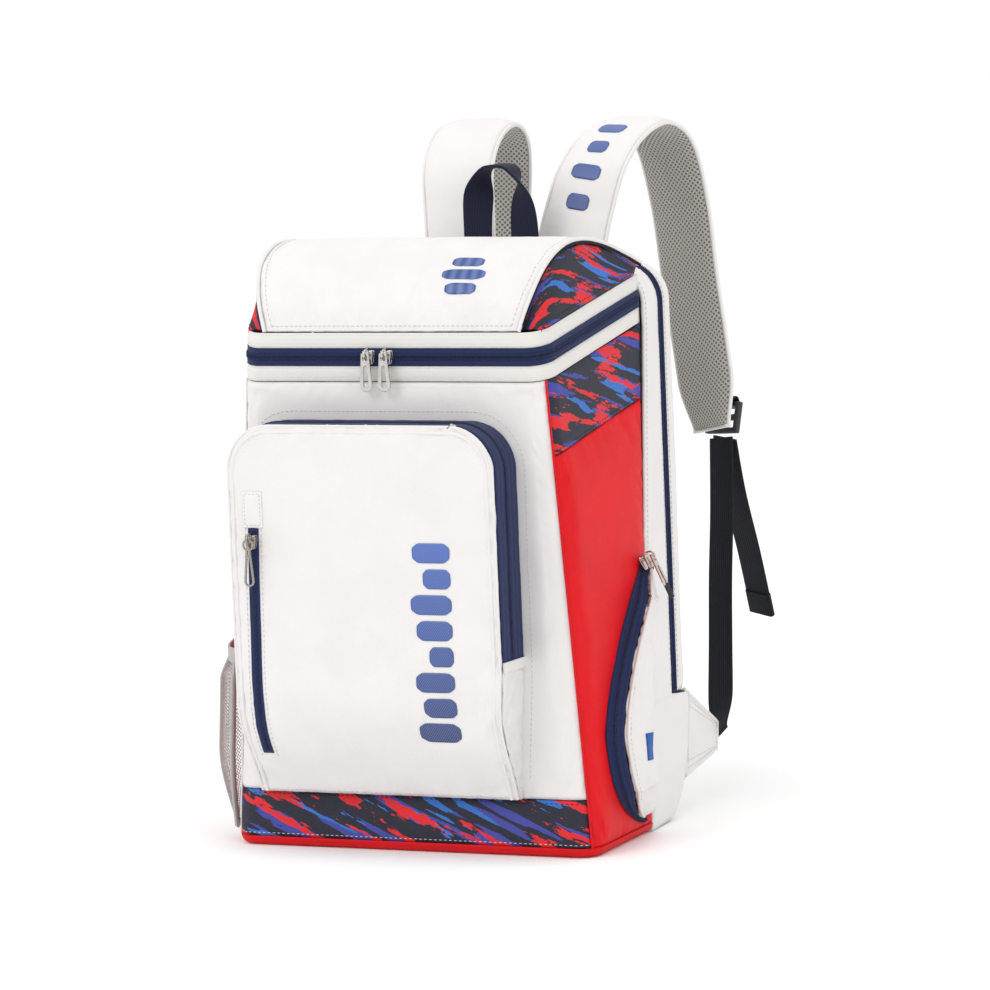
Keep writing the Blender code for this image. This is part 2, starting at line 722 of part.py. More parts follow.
def ring_pull(name, place, length, wide, wire, finish):
    """Stretched ring: narrow at the slider, wide at the finger end."""
    points = []
    for i in range(5):
        angle = math.pi * i / 4
        points.append((0.0020 * math.cos(angle), 0.0020 * math.sin(angle) - 0.0020))
    for i in range(7):
        angle = math.pi + math.pi * i / 6
        points.append((wide / 2 * math.cos(angle), wide / 2 * math.sin(angle) - length + wide / 2))
    curve = bpy.data.curves.new(name, "CURVE")
    curve.dimensions = "3D"
    curve.bevel_depth = wire
    curve.bevel_resolution = 1
    run = curve.splines.new("POLY")
    run.points.add(len(points) - 1)
    for target, (x, z) in zip(run.points, points):
        target.co = (x, 0, z, 1)
    run.use_cyclic_u = True
    obj = link(name, curve, finish)
    obj.matrix_world = place
    return obj


def slider_with_pull(name, origin, outward, up, steel, length=0.030, wide=0.0095, lift=0.0012):
    """Zip slider standing on the tape at origin, and the pull that hinges on it."""
    place = frame_at(origin, outward, up)
    thick, wire = 0.0050, 0.0013
    body = place @ Matrix.Translation((0, -lift - thick / 2, 0))
    box(name + "_slider", (0.0085, thick, 0.0110), body, steel, 0.0014)
    pivot = place @ Matrix.Translation((0, -lift - thick - wire - 0.0007, 0.0025))
    ring_pull(name + "_pull", pivot, length, wide, wire, steel)


def side_normal(sign, y, z):
    """Outward normal of the plain side wall."""
    step = 0.004
    a, b, c = (on_side(sign, y + dy, z + dz, 0) for dy, dz in ((0, 0), (step, 0), (0, step)))
    normal = (b - a).cross(c - a).normalized()
    return normal if normal.x * sign > 0 else -normal


def build_sliders(steel):
    front, up = Vector((0, -1, 0)), Vector((0, 0, 1))
    slider_with_pull("lid_left", (-0.0172, FRONT_Y, ZIP_FRONT_Z), front, up, steel)
    slider_with_pull("lid_right", (-0.0019, FRONT_Y, ZIP_FRONT_Z), front, up, steel)
    slot_z = 0.243
    slot_x = lerp(SLOT_LOW[0], SLOT_HIGH[0], (slot_z - SLOT_LOW[1]) / (SLOT_HIGH[1] - SLOT_LOW[1]))
    slider_with_pull("slot", on_pocket_face(slot_x, slot_z, 0.0018), front, up, steel, 0.036, 0.0085)
    slider_with_pull("front_pocket", (POCKET_LEFT, FRONT_Y - 0.022, 0.250), (-1, 0, 0), up, steel,
                     0.026, 0.0080)
    y, z = 0.0245, 0.2085
    lean = side_normal(1, y, z) + Vector((0, 0, 0.45))      # the pull rests on the bulged panel
    slider_with_pull("side_pocket", on_side(1, y, z, 0.0050), lean, (0, 0, 1), steel, 0.034, 0.0080,
                     lift=0.0030)
    y, z = -0.0730, 0.1900
    slider_with_pull("left_pocket", on_side(-1, y, z, 0.0022), side_normal(-1, y, z), up, steel,
                     0.036, 0.0075)
    for side, sign in SIDES:
        slider_with_pull("rear_" + side, (sign * 0.012, REAR_ZIP_Y, REAR_TOP_Z), up, (-sign, 0, 0),
                         steel, 0.028, 0.0080)


# ---------------------------------------------------------------- joints

# Moving body: (parent body, point on its joint's axis, its pieces)
MOVING = {
    "lid": (None, (0, LID_REAR_Y, 0.4375),
            ("lid_top", "lid_side_left", "lid_side_right", "upper_border", "upper_zip_tape")),
    "back_flap": (None, (0, 0.115, FLAP_HINGE_Z),
                  ("back_panel", "back_shell", "back_pad_left", "back_pad_right", "lumbar_pad",
                   "rear_zip_rear_tape", "webbing_left", "webbing_right",
                   "rear_left_slider", "rear_right_slider")),
    "strap_left": ("back_flap", (-0.047, 0.125, 0.426), ("shoulder_strap_left", "buckle_left")),
    "strap_right": ("back_flap", (0.047, 0.125, 0.426), ("shoulder_strap_right", "buckle_right")),
    "tail_left": ("strap_left", (-0.112, 0.269, 0.279), ("webbing_tail_left",)),
    "tail_right": ("strap_right", (0.112, 0.269, 0.279), ("webbing_tail_right",)),
    "handle": ("back_flap", (0, 0.1015, 0.437), ("grab_handle",)),
    "side_flap": (None, (0.1495, 0.0316, 0.111), ("side_pocket_panel", "side_pocket_slider")),
}


def hang(obj, parent):
    """Parents obj where it stands."""
    bpy.context.view_layer.update()
    obj.parent = parent
    obj.matrix_parent_inverse = parent.matrix_world.inverted()


def add_pivots():
    """An empty on each hinge's axis carries the pieces that turn about it."""
    pivots = {}
    for body, (parent, point, pieces) in MOVING.items():
        pivot = pivots[body] = bpy.data.objects.new(body + "_pivot", None)
        pivot.empty_display_size = 0.02
        pivot.location = point
        PARTS.objects.link(pivot)
        if parent:
            hang(pivot, pivots[parent])
        for name in pieces:
            hang(bpy.data.objects[name], pivot)
    for pull in [obj for obj in PARTS.objects if obj.name.endswith("_pull")]:
        hang(pull, bpy.data.objects[pull.name.replace("_pull", "_slider")])
    for window in CUTTERS.objects:
        hang(window, bpy.data.objects["_".join(window.name.split("_")[:2])])


def main():
    white = material("white_coated_fabric", (0.86, 0.85, 0.83), 0.5)
    red = material("red_coated_fabric", (0.78, 0.02, 0.03), 0.5)
    board = material("red_base_board", (0.78, 0.02, 0.03), 0.5)
    printed = material("printed_fabric", (0.10, 0.05, 0.16), 0.55)
    cream = material("cream_textile", (0.78, 0.77, 0.72), 0.8)
    navy = material("navy_zip", (0.03, 0.05, 0.18), 0.6)
    handle_navy = material("navy_webbing", (0.02, 0.025, 0.07), 0.7)
    black = material("black_webbing", (0.012, 0.013, 0.02), 0.7)
    mesh_cloth = material("grey_air_mesh", (0.46, 0.45, 0.42), 0.85)
    lining = material("grey_lining", (0.42, 0.42, 0.42), 0.8)
    steel = material("nickel_plate", (0.75, 0.74, 0.72), 0.25, 1.0)

    build_base(board)
    build_walls(white, red, printed)
    build_lid_zip(navy, cream)
    build_lid(white, printed)
    build_rear(white, navy, lining)
    build_back_pads(mesh_cloth)
    build_front_pocket(white, navy)
    build_slot_zip(navy)
    build_side_pocket(white, navy)
    build_mesh_pocket(mesh_cloth)
    build_left_zip(navy)
    build_straps(white, black)
    build_handle(handle_navy)
    build_sliders(steel)
    add_pivots()


clear_scene()
PARTS = bpy.data.collections.new("racket_backpack")
CUTTERS = bpy.data.collections.new("cutters")
for collection in (PARTS, CUTTERS):
    bpy.context.scene.collection.children.link(collection)
main()
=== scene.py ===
"""Looks of the racket backpack: fabric, zips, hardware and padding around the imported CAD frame.

Metres, +Z up, front towards -Y, worn side towards +Y, as in the CAD.
"""
import math

import bmesh
import bpy
from mathutils import Matrix, Vector, noise
from mathutils.bvhtree import BVHTree


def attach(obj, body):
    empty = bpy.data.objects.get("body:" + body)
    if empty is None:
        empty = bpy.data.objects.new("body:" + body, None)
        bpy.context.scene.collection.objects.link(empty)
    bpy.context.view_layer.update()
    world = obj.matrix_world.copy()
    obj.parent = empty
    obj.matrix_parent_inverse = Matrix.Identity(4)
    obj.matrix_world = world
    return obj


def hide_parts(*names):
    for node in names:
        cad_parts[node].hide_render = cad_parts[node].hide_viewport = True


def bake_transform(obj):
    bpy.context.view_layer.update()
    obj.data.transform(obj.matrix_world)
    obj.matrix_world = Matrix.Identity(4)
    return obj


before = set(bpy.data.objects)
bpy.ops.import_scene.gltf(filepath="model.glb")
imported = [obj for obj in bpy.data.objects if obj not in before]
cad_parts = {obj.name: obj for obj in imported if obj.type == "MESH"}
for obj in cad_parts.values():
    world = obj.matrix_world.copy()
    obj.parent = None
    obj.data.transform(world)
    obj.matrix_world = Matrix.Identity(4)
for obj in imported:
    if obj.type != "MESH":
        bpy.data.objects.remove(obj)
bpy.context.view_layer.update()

# Driving dimensions, the same as the CAD's
BASE_HALF_WIDTH = 0.155
ZIP_HALF_WIDTH = 0.130
REAR_HALF_WIDTH = 0.142
FRONT_Y = -0.100
BACK_Y = 0.116
CORNER_RADIUS = 0.030
FRONT_RADIUS = 0.018
BASE_ROUND = 0.008
ZIP_FRONT_Z = 0.3795
ZIP_RISE = 0.20
LID_REAR_Y = 0.0565
REAR_TOP_Z = 0.436
REAR_ZIP_Y = 0.086
FLAP_HINGE_Z = 0.099
FOOT_FRONT_Y, FOOT_TURN_Y = 0.0221, 0.064
FABRIC = 0.0030
GAP = 0.0003
BAND_LOW_Z = 0.0076
BAND_HIGH_Z = 0.0445
ZIP_HALF = 0.0065
BORDER = 0.0120
POCKET_LEFT, POCKET_RIGHT = -0.122, 0.103
POCKET_TOP_Z = 0.332
POCKET_DEPTH = 0.043
POCKET_RADIUS = 0.036
POCKET_ZIP_LEFT_Z, POCKET_ZIP_RIGHT_Z = 0.235, 0.149
SLOT_HIGH, SLOT_LOW = (-0.100, 0.254), (-0.1035, 0.078)
LEFT_ZIP_LOW, LEFT_ZIP_HIGH = (-0.078, 0.186), (0.030, 0.262)
STRAP_WIDTH = 0.060
WEBBING_WIDTH, WEBBING_THICK = 0.025, 0.0018
HANDLE_WIDTH = 0.024
STRAP_TURN = math.radians(20)
SEAM = {-1: 1.72, 1: 1.535}     # place of each corner seam along outline()
SIDES = (("left", -1), ("right", 1))

X, Y, Z = Vector((1, 0, 0)), Vector((0, 1, 0)), Vector((0, 0, 1))


# ---------------------------------------------------------------- small maths

def lerp(a, b, t):
    return a + (b - a) * t


def smooth(t):
    t = min(1.0, max(0.0, t))
    return t * t * (3 - 2 * t)


def spline(points, t):
    """Catmull-Rom curve through points, t from 0 to 1."""
    count = len(points) - 1
    at = min(count - 1, max(0, int(t * count)))
    t = t * count - at
    p = [Vector(points[max(0, min(count, at + i))]) for i in (-1, 0, 1, 2)]
    return 0.5 * (2 * p[1] + (p[2] - p[0]) * t + (2 * p[0] - 5 * p[1] + 4 * p[2] - p[3]) * t * t
                  + (3 * p[1] - p[0] - 3 * p[2] + p[3]) * t ** 3)


def sampled(route, count):
    return [Vector(route(i / count)) for i in range(count + 1)]


def frame_at(origin, outward, up):
    """Matrix with local -Y along outward and local +Z close to up."""
    inward = -Vector(outward).normalized()
    up = Vector(up)
    up = (up - inward * up.dot(inward)).normalized()
    right = inward.cross(up)
    return Matrix.Translation(Vector(origin)) @ Matrix((right, inward, up)).transposed().to_4x4()


# ---------------------------------------------------------------- shape of the pack

def zip_z(y):
    return ZIP_FRONT_Z + (y - FRONT_Y) * ZIP_RISE


def front_half_width(z):
    return lerp(BASE_HALF_WIDTH, ZIP_HALF_WIDTH, z / ZIP_FRONT_Z)


def side_x(y, z):
    start, half = FRONT_Y + FRONT_RADIUS, front_half_width(z)
    if y < start:
        return half - FRONT_RADIUS + math.sqrt(max(0.0, FRONT_RADIUS ** 2 - (start - y) ** 2))
    return lerp(half, REAR_HALF_WIDTH, (y - start) / (BACK_Y - start))


def side_seam_y(z):
    return lerp(0.022, LID_REAR_Y - 0.001, min(1.0, z / 0.39))


def outline(s, z, rear_y=None):
    """Point of the wall at height z: |s| 0-1 front, 1-2 corner, 2-3 side up to its rear seam."""
    half, sign, s = front_half_width(z), math.copysign(1, s), abs(s)
    inset = 0.0
    if z < BASE_ROUND:
        inset = BASE_ROUND - math.sqrt(BASE_ROUND ** 2 - (BASE_ROUND - z) ** 2)
    straight = half - FRONT_RADIUS
    if s <= 1:
        x, y = straight * s, FRONT_Y + inset
    elif s <= 2:
        angle, reach = (s - 1) * math.pi / 2, FRONT_RADIUS - inset
        x = straight + reach * math.sin(angle)
        y = FRONT_Y + FRONT_RADIUS - reach * math.cos(angle)
    else:
        end = side_seam_y(z) if rear_y is None else rear_y
        y = lerp(FRONT_Y + FRONT_RADIUS, end, s - 2)
        x = side_x(y, z) - inset
    return Vector((sign * x, y, z))


def on_zip(s, offset):
    y = outline(s, ZIP_FRONT_Z, LID_REAR_Y - 0.001).y
    return outline(s, zip_z(y) + offset, LID_REAR_Y - 0.001)


def diagonal_z(y):
    return lerp(0.3055, 0.3335, (y + 0.09) / 0.14)


def on_side(sign, y, z, proud):
    return Vector((sign * (side_x(y, z) + proud), y, z))


def side_normal(sign, y, z):
    step = 0.004
    a, b, c = (on_side(sign, y + dy, z + dz, 0) for dy, dz in ((0, 0), (step, 0), (0, step)))
    normal = (b - a).cross(c - a).normalized()
    return normal if normal.x * sign > 0 else -normal


def pocket_depth(z):
    return POCKET_DEPTH * lerp(0.16, 1.0, smooth((z - 0.03) / 0.09))


def pocket_sides(z, inset=0.0):
    """(left x, right x) of the pocket's face at height z, inset from its edge."""
    left = POCKET_LEFT + inset
    right = POCKET_RIGHT - 0.006 * (1 - smooth((z - 0.04) / 0.12)) - inset
    rise, radius = z - (POCKET_TOP_Z - POCKET_RADIUS), POCKET_RADIUS - inset
    if rise > 0:
        cut = radius - math.sqrt(max(0.0, radius ** 2 - rise ** 2))
        left, right = left + cut, right - cut
    return left, right


def pocket_path(t, low_left, low_right, inset=0.0):
    """(x, z) up the pocket's left side, over its top and down its right side."""
    left, right = POCKET_LEFT + inset, POCKET_RIGHT - inset
    top, radius = POCKET_TOP_Z - inset, POCKET_RADIUS - inset
    arc = radius * math.pi / 2
    up, flat, down = top - radius - low_left, right - left - 2 * radius, top - radius - low_right
    run = t * (up + arc + flat + arc + down)
    if run < up:
        z = low_left + run
        return pocket_sides(z, inset)[0], z
    run -= up
    if run < arc:
        angle = run / radius
        return left + radius - radius * math.cos(angle), top - radius + radius * math.sin(angle)
    run -= arc
    if run < flat:
        return left + radius + run, top
    run -= flat
    if run < arc:
        angle = run / radius
        return right - radius + radius * math.sin(angle), top - radius + radius * math.cos(angle)
    z = top - radius - (run - arc)
    return pocket_sides(z, inset)[1], z


def on_pocket(x, z, proud=0.0):
    return Vector((x, FRONT_Y - pocket_depth(z) - proud, z))


def side_pocket_front(z):
    low, high, foremost_y, belly = 0.012, 0.2155, -0.0660, 0.36
    t = (z - low) / (high - low)
    if t > belly:
        return lerp(foremost_y, 0.0335, ((t - belly) / (1 - belly)) ** 1.45)
    below = (belly - t) / (belly + 0.002)
    return foremost_y + 0.080 * (1 - math.sqrt(max(0.0, 1 - below ** 2))) ** 1.15


def side_bulge(u, v):
    return 0.013 * min(1.0, 2.2 * math.sin(math.pi * min(1.0, v))) * (1 - smooth((u - 0.55) / 0.45))


def rear_path(t, low, inset=0.0):
    """(x, z) up the right side from z = low, over the rounded top and down the left side."""
    half, top, radius = REAR_HALF_WIDTH - inset, REAR_TOP_Z - inset, CORNER_RADIUS - inset
    side, arc, flat = top - radius - low, radius * math.pi / 2, 2 * (half - radius)
    total = 2 * side + 2 * arc + flat
    run = min(t, 1 - t) * total
    if run < side:
        x, z = half, low + run
    elif run < side + arc:
        angle = (run - side) / radius
        x, z = half - radius + radius * math.cos(angle), top - radius + radius * math.sin(angle)
    else:
        x, z = half - radius - (run - side - arc), top
    return (-x if t > 0.5 else x), z


def bottom_curve(angle):
    """(y, z) along the curved underside of the rear compartment."""
    return (lerp(FOOT_TURN_Y, BACK_Y - 0.001, math.sin(angle)),
            (FLAP_HINGE_Z - 0.0015) * (1 - math.cos(angle)))


def foot_y(z):
    share = z / (FLAP_HINGE_Z - 0.0015)
    return bottom_curve(math.acos(max(0.0, min(1.0, 1 - share))))[0]


def rear_wall_x(share, z):
    """Half width of the rear compartment at share of the way from its front seam to its rear edge."""
    return max(REAR_HALF_WIDTH, lerp(side_x(side_seam_y(z), z), REAR_HALF_WIDTH, share))


LID_SEAM = (
    (0.1070, -0.0985, 0.3990), (0.1145, -0.0920, 0.4240), (0.1205, -0.0760, 0.4470),
    (0.1235, -0.0500, 0.4600), (0.1255, -0.0200, 0.4625), (0.1285, 0.0120, 0.4570),
    (0.1345, 0.0380, 0.4470), (0.1400, 0.0545, 0.4385),
)
STRAP_ROUTE = (
    (0.0470, 0.1250, 0.4260), (0.0485, 0.1270, 0.4450), (0.0520, 0.1340, 0.4700),
    (0.0590, 0.1490, 0.5060), (0.0650, 0.1800, 0.5300), (0.0700, 0.2200, 0.5370),
    (0.0760, 0.2520, 0.5180), (0.0830, 0.2620, 0.4700), (0.0900, 0.2610, 0.4100),
    (0.1000, 0.2560, 0.3500), (0.1100, 0.2490, 0.2880),
)
WEBBING_ROUTE = (
    (0.1122, 0.2612, 0.2800), (0.1155, 0.2490, 0.2200), (0.1190, 0.2340, 0.1700),
    (0.1240, 0.2180, 0.1200), (0.1310, 0.1980, 0.0780), (0.1390, 0.1765, 0.0520),
)
TAIL_ROUTE = (
    (0.1120, 0.2690, 0.2790), (0.1118, 0.2850, 0.2330), (0.1112, 0.3120, 0.1800),
    (0.1105, 0.3360, 0.1270),
)


def rim_at(y, offset):
    """Point of the lid's rim at depth y."""
    start = FRONT_Y + FRONT_RADIUS
    if y < start:
        s = 1 + math.acos(1 - (y - FRONT_Y) / FRONT_RADIUS) / (math.pi / 2)
    else:
        s = 2 + (y - start) / (LID_REAR_Y - 0.001 - start)
    return on_zip(s, offset)


def mirrored(points, sign):
    return [(sign * x, y, z) for x, y, z in points]


def turned(angle, sign):
    return Vector((math.cos(angle), -sign * math.sin(angle), 0))


# ---------------------------------------------------------------- materials

class Shader:
    """A Principled material built node by node. Surface coordinates are UVs in metres."""

    def __init__(self, name, colour, roughness, **inputs):
        self.material = bpy.data.materials.new(name)
        self.material.use_nodes = True
        self.tree = self.material.node_tree
        self.bsdf = self.tree.nodes["Principled BSDF"]
        self.bsdf.inputs["Base Color"].default_value = (*colour, 1)
        self.bsdf.inputs["Roughness"].default_value = roughness
        for key, value in inputs.items():
            self.bsdf.inputs[key.replace("_", " ")].default_value = value
        self.uv = self.tree.nodes.new("ShaderNodeTexCoord").outputs["UV"]

    def node(self, kind, inputs=None, output=0, **settings):
        made = self.tree.nodes.new(kind)
        for key, value in settings.items():
            setattr(made, key, value)
        for key, value in (inputs or {}).items():
            if isinstance(value, bpy.types.NodeSocket):
                self.tree.links.new(value, made.inputs[key])
            else:
                made.inputs[key].default_value = value
        return made.outputs[output]

    def math(self, operation, a, b=0.0):
        return self.node("ShaderNodeMath", {0: a, 1: b}, operation=operation)

    def mapped(self, scale, turn=0.0, shift=(0, 0, 0)):
        """UVs turned by an angle, then scaled per metre."""
        return self.node("ShaderNodeMapping", {"Vector": self.node(
            "ShaderNodeVectorRotate", {"Vector": self.uv, "Angle": turn}, rotation_type="Z_AXIS"),
            "Scale": scale, "Location": shift})

    def noise(self, vector, scale=1.0, detail=2.0, rough=0.5, distortion=0.0):
        return self.node("ShaderNodeTexNoise", {"Vector": vector, "Scale": scale, "Detail": detail,
                                                "Roughness": rough, "Distortion": distortion},
                         noise_dimensions="2D")

    def cells(self, vector, randomness=1.0, feature="F1"):
        return self.node("ShaderNodeTexVoronoi", {"Vector": vector, "Scale": 1.0,
                                                  "Randomness": randomness},
                         voronoi_dimensions="2D", feature=feature)

    def bands(self, period, turn=0.0, wander=0.0):
        """Soft parallel ridges, 0 to 1, that repeat every period metres along the turned x."""
        vector = self.mapped((2 * math.pi / period, 0, 0), turn)
        x = self.node("ShaderNodeSeparateXYZ", {0: vector})
        if wander:
            x = self.math("ADD", x, self.math("MULTIPLY", self.noise(self.mapped((250, 250, 0))), wander))
        return self.math("MULTIPLY_ADD", self.math("SINE", x), 0.5)

    def ramp(self, value, stops, interpolation="LINEAR"):
        made = self.tree.nodes.new("ShaderNodeValToRGB")
        made.color_ramp.interpolation = interpolation
        while len(made.color_ramp.elements) < len(stops):
            made.color_ramp.elements.new(1.0)
        for element, (position, colour) in zip(made.color_ramp.elements, stops):
            element.position = position
            element.color = (*colour, 1) if len(colour) == 3 else colour
        self.tree.links.new(value, made.inputs[0])
        return made.outputs[0]

    def mix(self, factor, a, b):
        made = self.tree.nodes.new("ShaderNodeMix")
        made.data_type = "RGBA"
        for socket, value in ((made.inputs[0], factor), (made.inputs[6], a), (made.inputs[7], b)):
            if isinstance(value, bpy.types.NodeSocket):
                self.tree.links.new(value, socket)
            elif socket is made.inputs[0]:
                socket.default_value = value
            else:
                socket.default_value = (*value, 1)
        return made.outputs[2]

    def link(self, key, socket):
        self.tree.links.new(socket, self.bsdf.inputs[key])

    def bump(self, *layers):
        """Each layer is (height socket, relief in metres)."""
        normal = None
        for height, relief in layers:
            inputs = {"Height": height, "Strength": 1.0, "Distance": relief}
            if normal is not None:
                inputs["Normal"] = normal
            normal = self.node("ShaderNodeBump", inputs)
        self.link("Normal", normal)


def coated(name, colour, shade, roughness, twill, shine=0.40):
    """Coated fabric: pebbled skin, faint diagonal emboss, soft mottling."""
    made = Shader(name, colour, roughness, Specular_IOR_Level=shine)
    pebble = made.cells(made.mapped((1150, 1150, 0)))
    ribs = made.bands(0.0017, math.radians(52), 2.2)
    broad = made.noise(made.mapped((26, 26, 0)), detail=3.0)
    fine = made.noise(made.mapped((420, 420, 0)), detail=2.0)
    mottled = made.mix(made.ramp(broad, ((0.35, (0, 0, 0)), (0.7, (1, 1, 1)))), colour, shade)
    made.link("Base Color", mottled)
    made.link("Roughness", made.math("MULTIPLY_ADD", fine, 0.16))
    made.tree.nodes[-1].inputs[2].default_value = roughness - 0.08
    made.bump((pebble, 0.00007), (ribs, twill), (broad, 0.00035))
    return made.material


def woven(name, colour, shade, pitch, relief, roughness=0.85, along_only=False, sheen=0.08):
    """Plain weave or, with along_only, the lengthwise ribs of webbing."""
    made = Shader(name, colour, roughness, Sheen_Weight=sheen, Specular_IOR_Level=0.3)
    across = made.bands(pitch, 0.0, 0.5)
    along = made.bands(pitch * (0.55 if along_only else 1), math.pi / 2, 0.5)
    weave = made.math("MULTIPLY", across, along) if not along_only else \
        made.math("MULTIPLY_ADD", along, 0.35)
    if along_only:
        made.tree.links.new(across, made.tree.nodes[-1].inputs[2])
    fuzz = made.noise(made.mapped((700, 700, 0)), detail=3.0)
    made.link("Base Color", made.mix(made.math("MULTIPLY", weave, made.math("ADD", fuzz, 0.35)), shade, colour))
    made.bump((weave, relief), (fuzz, relief * 0.6))
    return made.material


def printed(name, slope, shift):
    """Printed twill: long torn streaks of red and two blues running down to the right on near-black."""
    made = Shader(name, (0.02, 0.02, 0.05), 0.58, Specular_IOR_Level=0.35)
    turn = math.radians(slope)

    def streaks(long, wide, place, torn, cut):
        base = made.noise(made.mapped((long, wide, 0), turn, place), detail=1.6, rough=0.42)
        edge = made.noise(made.mapped((long * 6, wide * 3.2, 0), turn, place), detail=3.0, rough=0.7)
        ragged = made.math("MULTIPLY", made.math("SUBTRACT", edge, 0.5), torn)
        return made.math("GREATER_THAN", made.math("ADD", base, ragged), cut)

    grain = made.noise(made.mapped((380, 380, 0)))
    navy = made.mix(grain, (0.011, 0.012, 0.024), (0.022, 0.022, 0.040))
    colour = made.mix(streaks(12, 100, (shift, 1.7, 0), 0.20, 0.578), navy, (0.052, 0.060, 0.33))
    colour = made.mix(streaks(15, 130, (shift + 5.1, 4.2, 0), 0.18, 0.675), colour, (0.030, 0.16, 0.55))
    colour = made.mix(streaks(16, 112, (shift + 9.3, 7.9, 0), 0.48, 0.622), colour, (0.72, 0.016, 0.022))
    twill = made.bands(0.0011, math.radians(28), 0.6)
    made.link("Base Color", made.mix(made.math("MULTIPLY", twill, 0.16), colour, (0.0, 0.0, 0.005)))
    made.bump((twill, 0.00006), (made.cells(made.mapped((900, 900, 0))), 0.00004))
    return made.material


def air_mesh(name, pitch, light, dark, hole):
    """Spacer mesh: a knitted face with rows of diamond holes, coloured dark: partly the layer seen through
    them, partly painted shade inside them.
    """
    made = Shader(name, light, 0.9, Sheen_Weight=0.2, Specular_IOR_Level=0.25)
    vector = made.mapped((1 / pitch, 1 / pitch, 0), math.radians(45))
    distance = made.cells(vector, 0.0)
    fuzz = made.noise(made.mapped((900, 900, 0)), detail=3.0)
    # hole mask: the holes get the dark colour, partly the layer beneath and partly painted shade, as they are
    # only a bump
    hole_shade_mask = made.ramp(distance, ((hole - 0.08, (1, 1, 1)), (hole + 0.06, (0, 0, 0))))
    knit = made.mix(fuzz, tuple(c * 0.78 for c in light), light)
    made.link("Base Color", made.mix(hole_shade_mask, knit, dark))
    made.bump((made.math("SUBTRACT", 1.0, hole_shade_mask), 0.0006), (fuzz, 0.0002))
    return made.material


def metal(name, colour, roughness):
    made = Shader(name, colour, roughness, Metallic=1.0)
    wear = made.noise(made.mapped((260, 260, 0)), detail=4.0)
    made.link("Roughness", made.math("MULTIPLY_ADD", wear, 0.16))
    made.tree.nodes[-1].inputs[2].default_value = roughness - 0.06
    made.bump((wear, 0.00002))
    return made.material


def moulded(name, colour, roughness):
    made = Shader(name, colour, roughness)
    grain = made.noise(made.mapped((1400, 1400, 0)), detail=2.0)
    made.link("Base Color", made.mix(grain, colour, tuple(c * 1.5 for c in colour)))
    made.bump((grain, 0.00003))
    return made.material


def graded(name, low, high, span):
    """Print that fades from one blue to another over span metres of v, with fine diagonal lines."""
    made = Shader(name, low, 0.4, Specular_IOR_Level=0.5)
    v = made.node("ShaderNodeSeparateXYZ", {0: made.mapped((1 / span, 1 / span, 0))}, output=1)
    lines = made.bands(0.0015, math.radians(38))
    fade = made.mix(made.ramp(v, ((0.0, (0, 0, 0)), (1.0, (1, 1, 1)))), low, high)
    made.link("Base Color", made.mix(made.math("MULTIPLY", lines, 0.22), fade, (0.35, 0.45, 0.75)))
    made.bump((lines, 0.00003))
    return made.material


MATERIALS = {
    "white": coated("white_coated", (0.735, 0.718, 0.703), (0.710, 0.692, 0.678), 0.50, 0.000030),
    "red": coated("red_coated", (0.690, 0.004, 0.009), (0.630, 0.004, 0.008), 0.52, 0.000010, 0.18),
    "red_base": coated("red_base", (0.640, 0.004, 0.009), (0.570, 0.004, 0.008), 0.54, 0.000010, 0.18),
    "printed_front": printed("printed_front", 24, 3.0),
    "printed_side": printed("printed_side", 24, 11.0),
    "cream": woven("cream_textile", (0.78, 0.765, 0.73), (0.68, 0.665, 0.635), 0.0009, 0.00010),
    "navy": woven("navy_zip_tape", (0.020, 0.037, 0.135), (0.010, 0.017, 0.065), 0.0010, 0.00012),
    "navy_dark": woven("navy_coil", (0.022, 0.036, 0.115), (0.012, 0.020, 0.066), 0.0010, 0.00008),
    "handle": woven("navy_webbing", (0.010, 0.013, 0.036), (0.005, 0.007, 0.019), 0.0022, 0.00022,
                    along_only=True, sheen=0.03),
    "black": woven("black_webbing", (0.007, 0.008, 0.014), (0.004, 0.005, 0.008), 0.0022, 0.00022,
                   along_only=True, sheen=0.03),
    # the dark colour of these meshes is partly the layer beneath and partly painted shade in their holes
    "mesh": air_mesh("grey_air_mesh", 0.0030, (0.56, 0.54, 0.50), (0.17, 0.162, 0.148), 0.34),
    "pad_mesh": air_mesh("grey_pad_mesh", 0.0034, (0.55, 0.53, 0.49), (0.15, 0.145, 0.135), 0.34),
    "net": woven("net_thread", (0.56, 0.54, 0.53), (0.40, 0.38, 0.38), 0.0009, 0.00005),
    "lining": woven("grey_lining", (0.30, 0.30, 0.31), (0.22, 0.22, 0.23), 0.0010, 0.00008),
    "nickel": metal("nickel_plate", (0.56, 0.54, 0.51), 0.24),
    "gunmetal": metal("dark_nickel", (0.34, 0.31, 0.28), 0.26),
    "plastic": moulded("black_plastic", (0.012, 0.013, 0.018), 0.42),
    "rubber": moulded("black_rubber", (0.015, 0.015, 0.016), 0.62),
    "white_thread": woven("white_thread", (0.68, 0.67, 0.65), (0.52, 0.51, 0.50), 0.0006, 0.00004),
    "dark_thread": woven("dark_thread", (0.030, 0.032, 0.060), (0.012, 0.013, 0.030), 0.0006, 0.00004),
    "red_thread": woven("red_thread", (0.62, 0.012, 0.014), (0.42, 0.008, 0.010), 0.0006, 0.00004),
    "print": graded("blue_print", (0.010, 0.022, 0.105), (0.050, 0.120, 0.420), 0.170),
    "label": woven("blue_label", (0.010, 0.110, 0.420), (0.006, 0.080, 0.330), 0.0008, 0.00006),
}


# ---------------------------------------------------------------- mesh helpers

def place_piece(obj, finish, body, replaces=(), back=None):
    """Gives obj its material and slot, and makes it ride on its body. back is the inner finish."""
    obj.data.materials.append(MATERIALS[finish])
    if back:
        obj.data.materials.append(MATERIALS[back])
    if replaces:
        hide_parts(*replaces)
    if body:
        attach(obj, body)
    return obj


def new_object(name, mesh):
    obj = bpy.data.objects.new(name, mesh)
    bpy.context.scene.collection.objects.link(obj)
    return obj


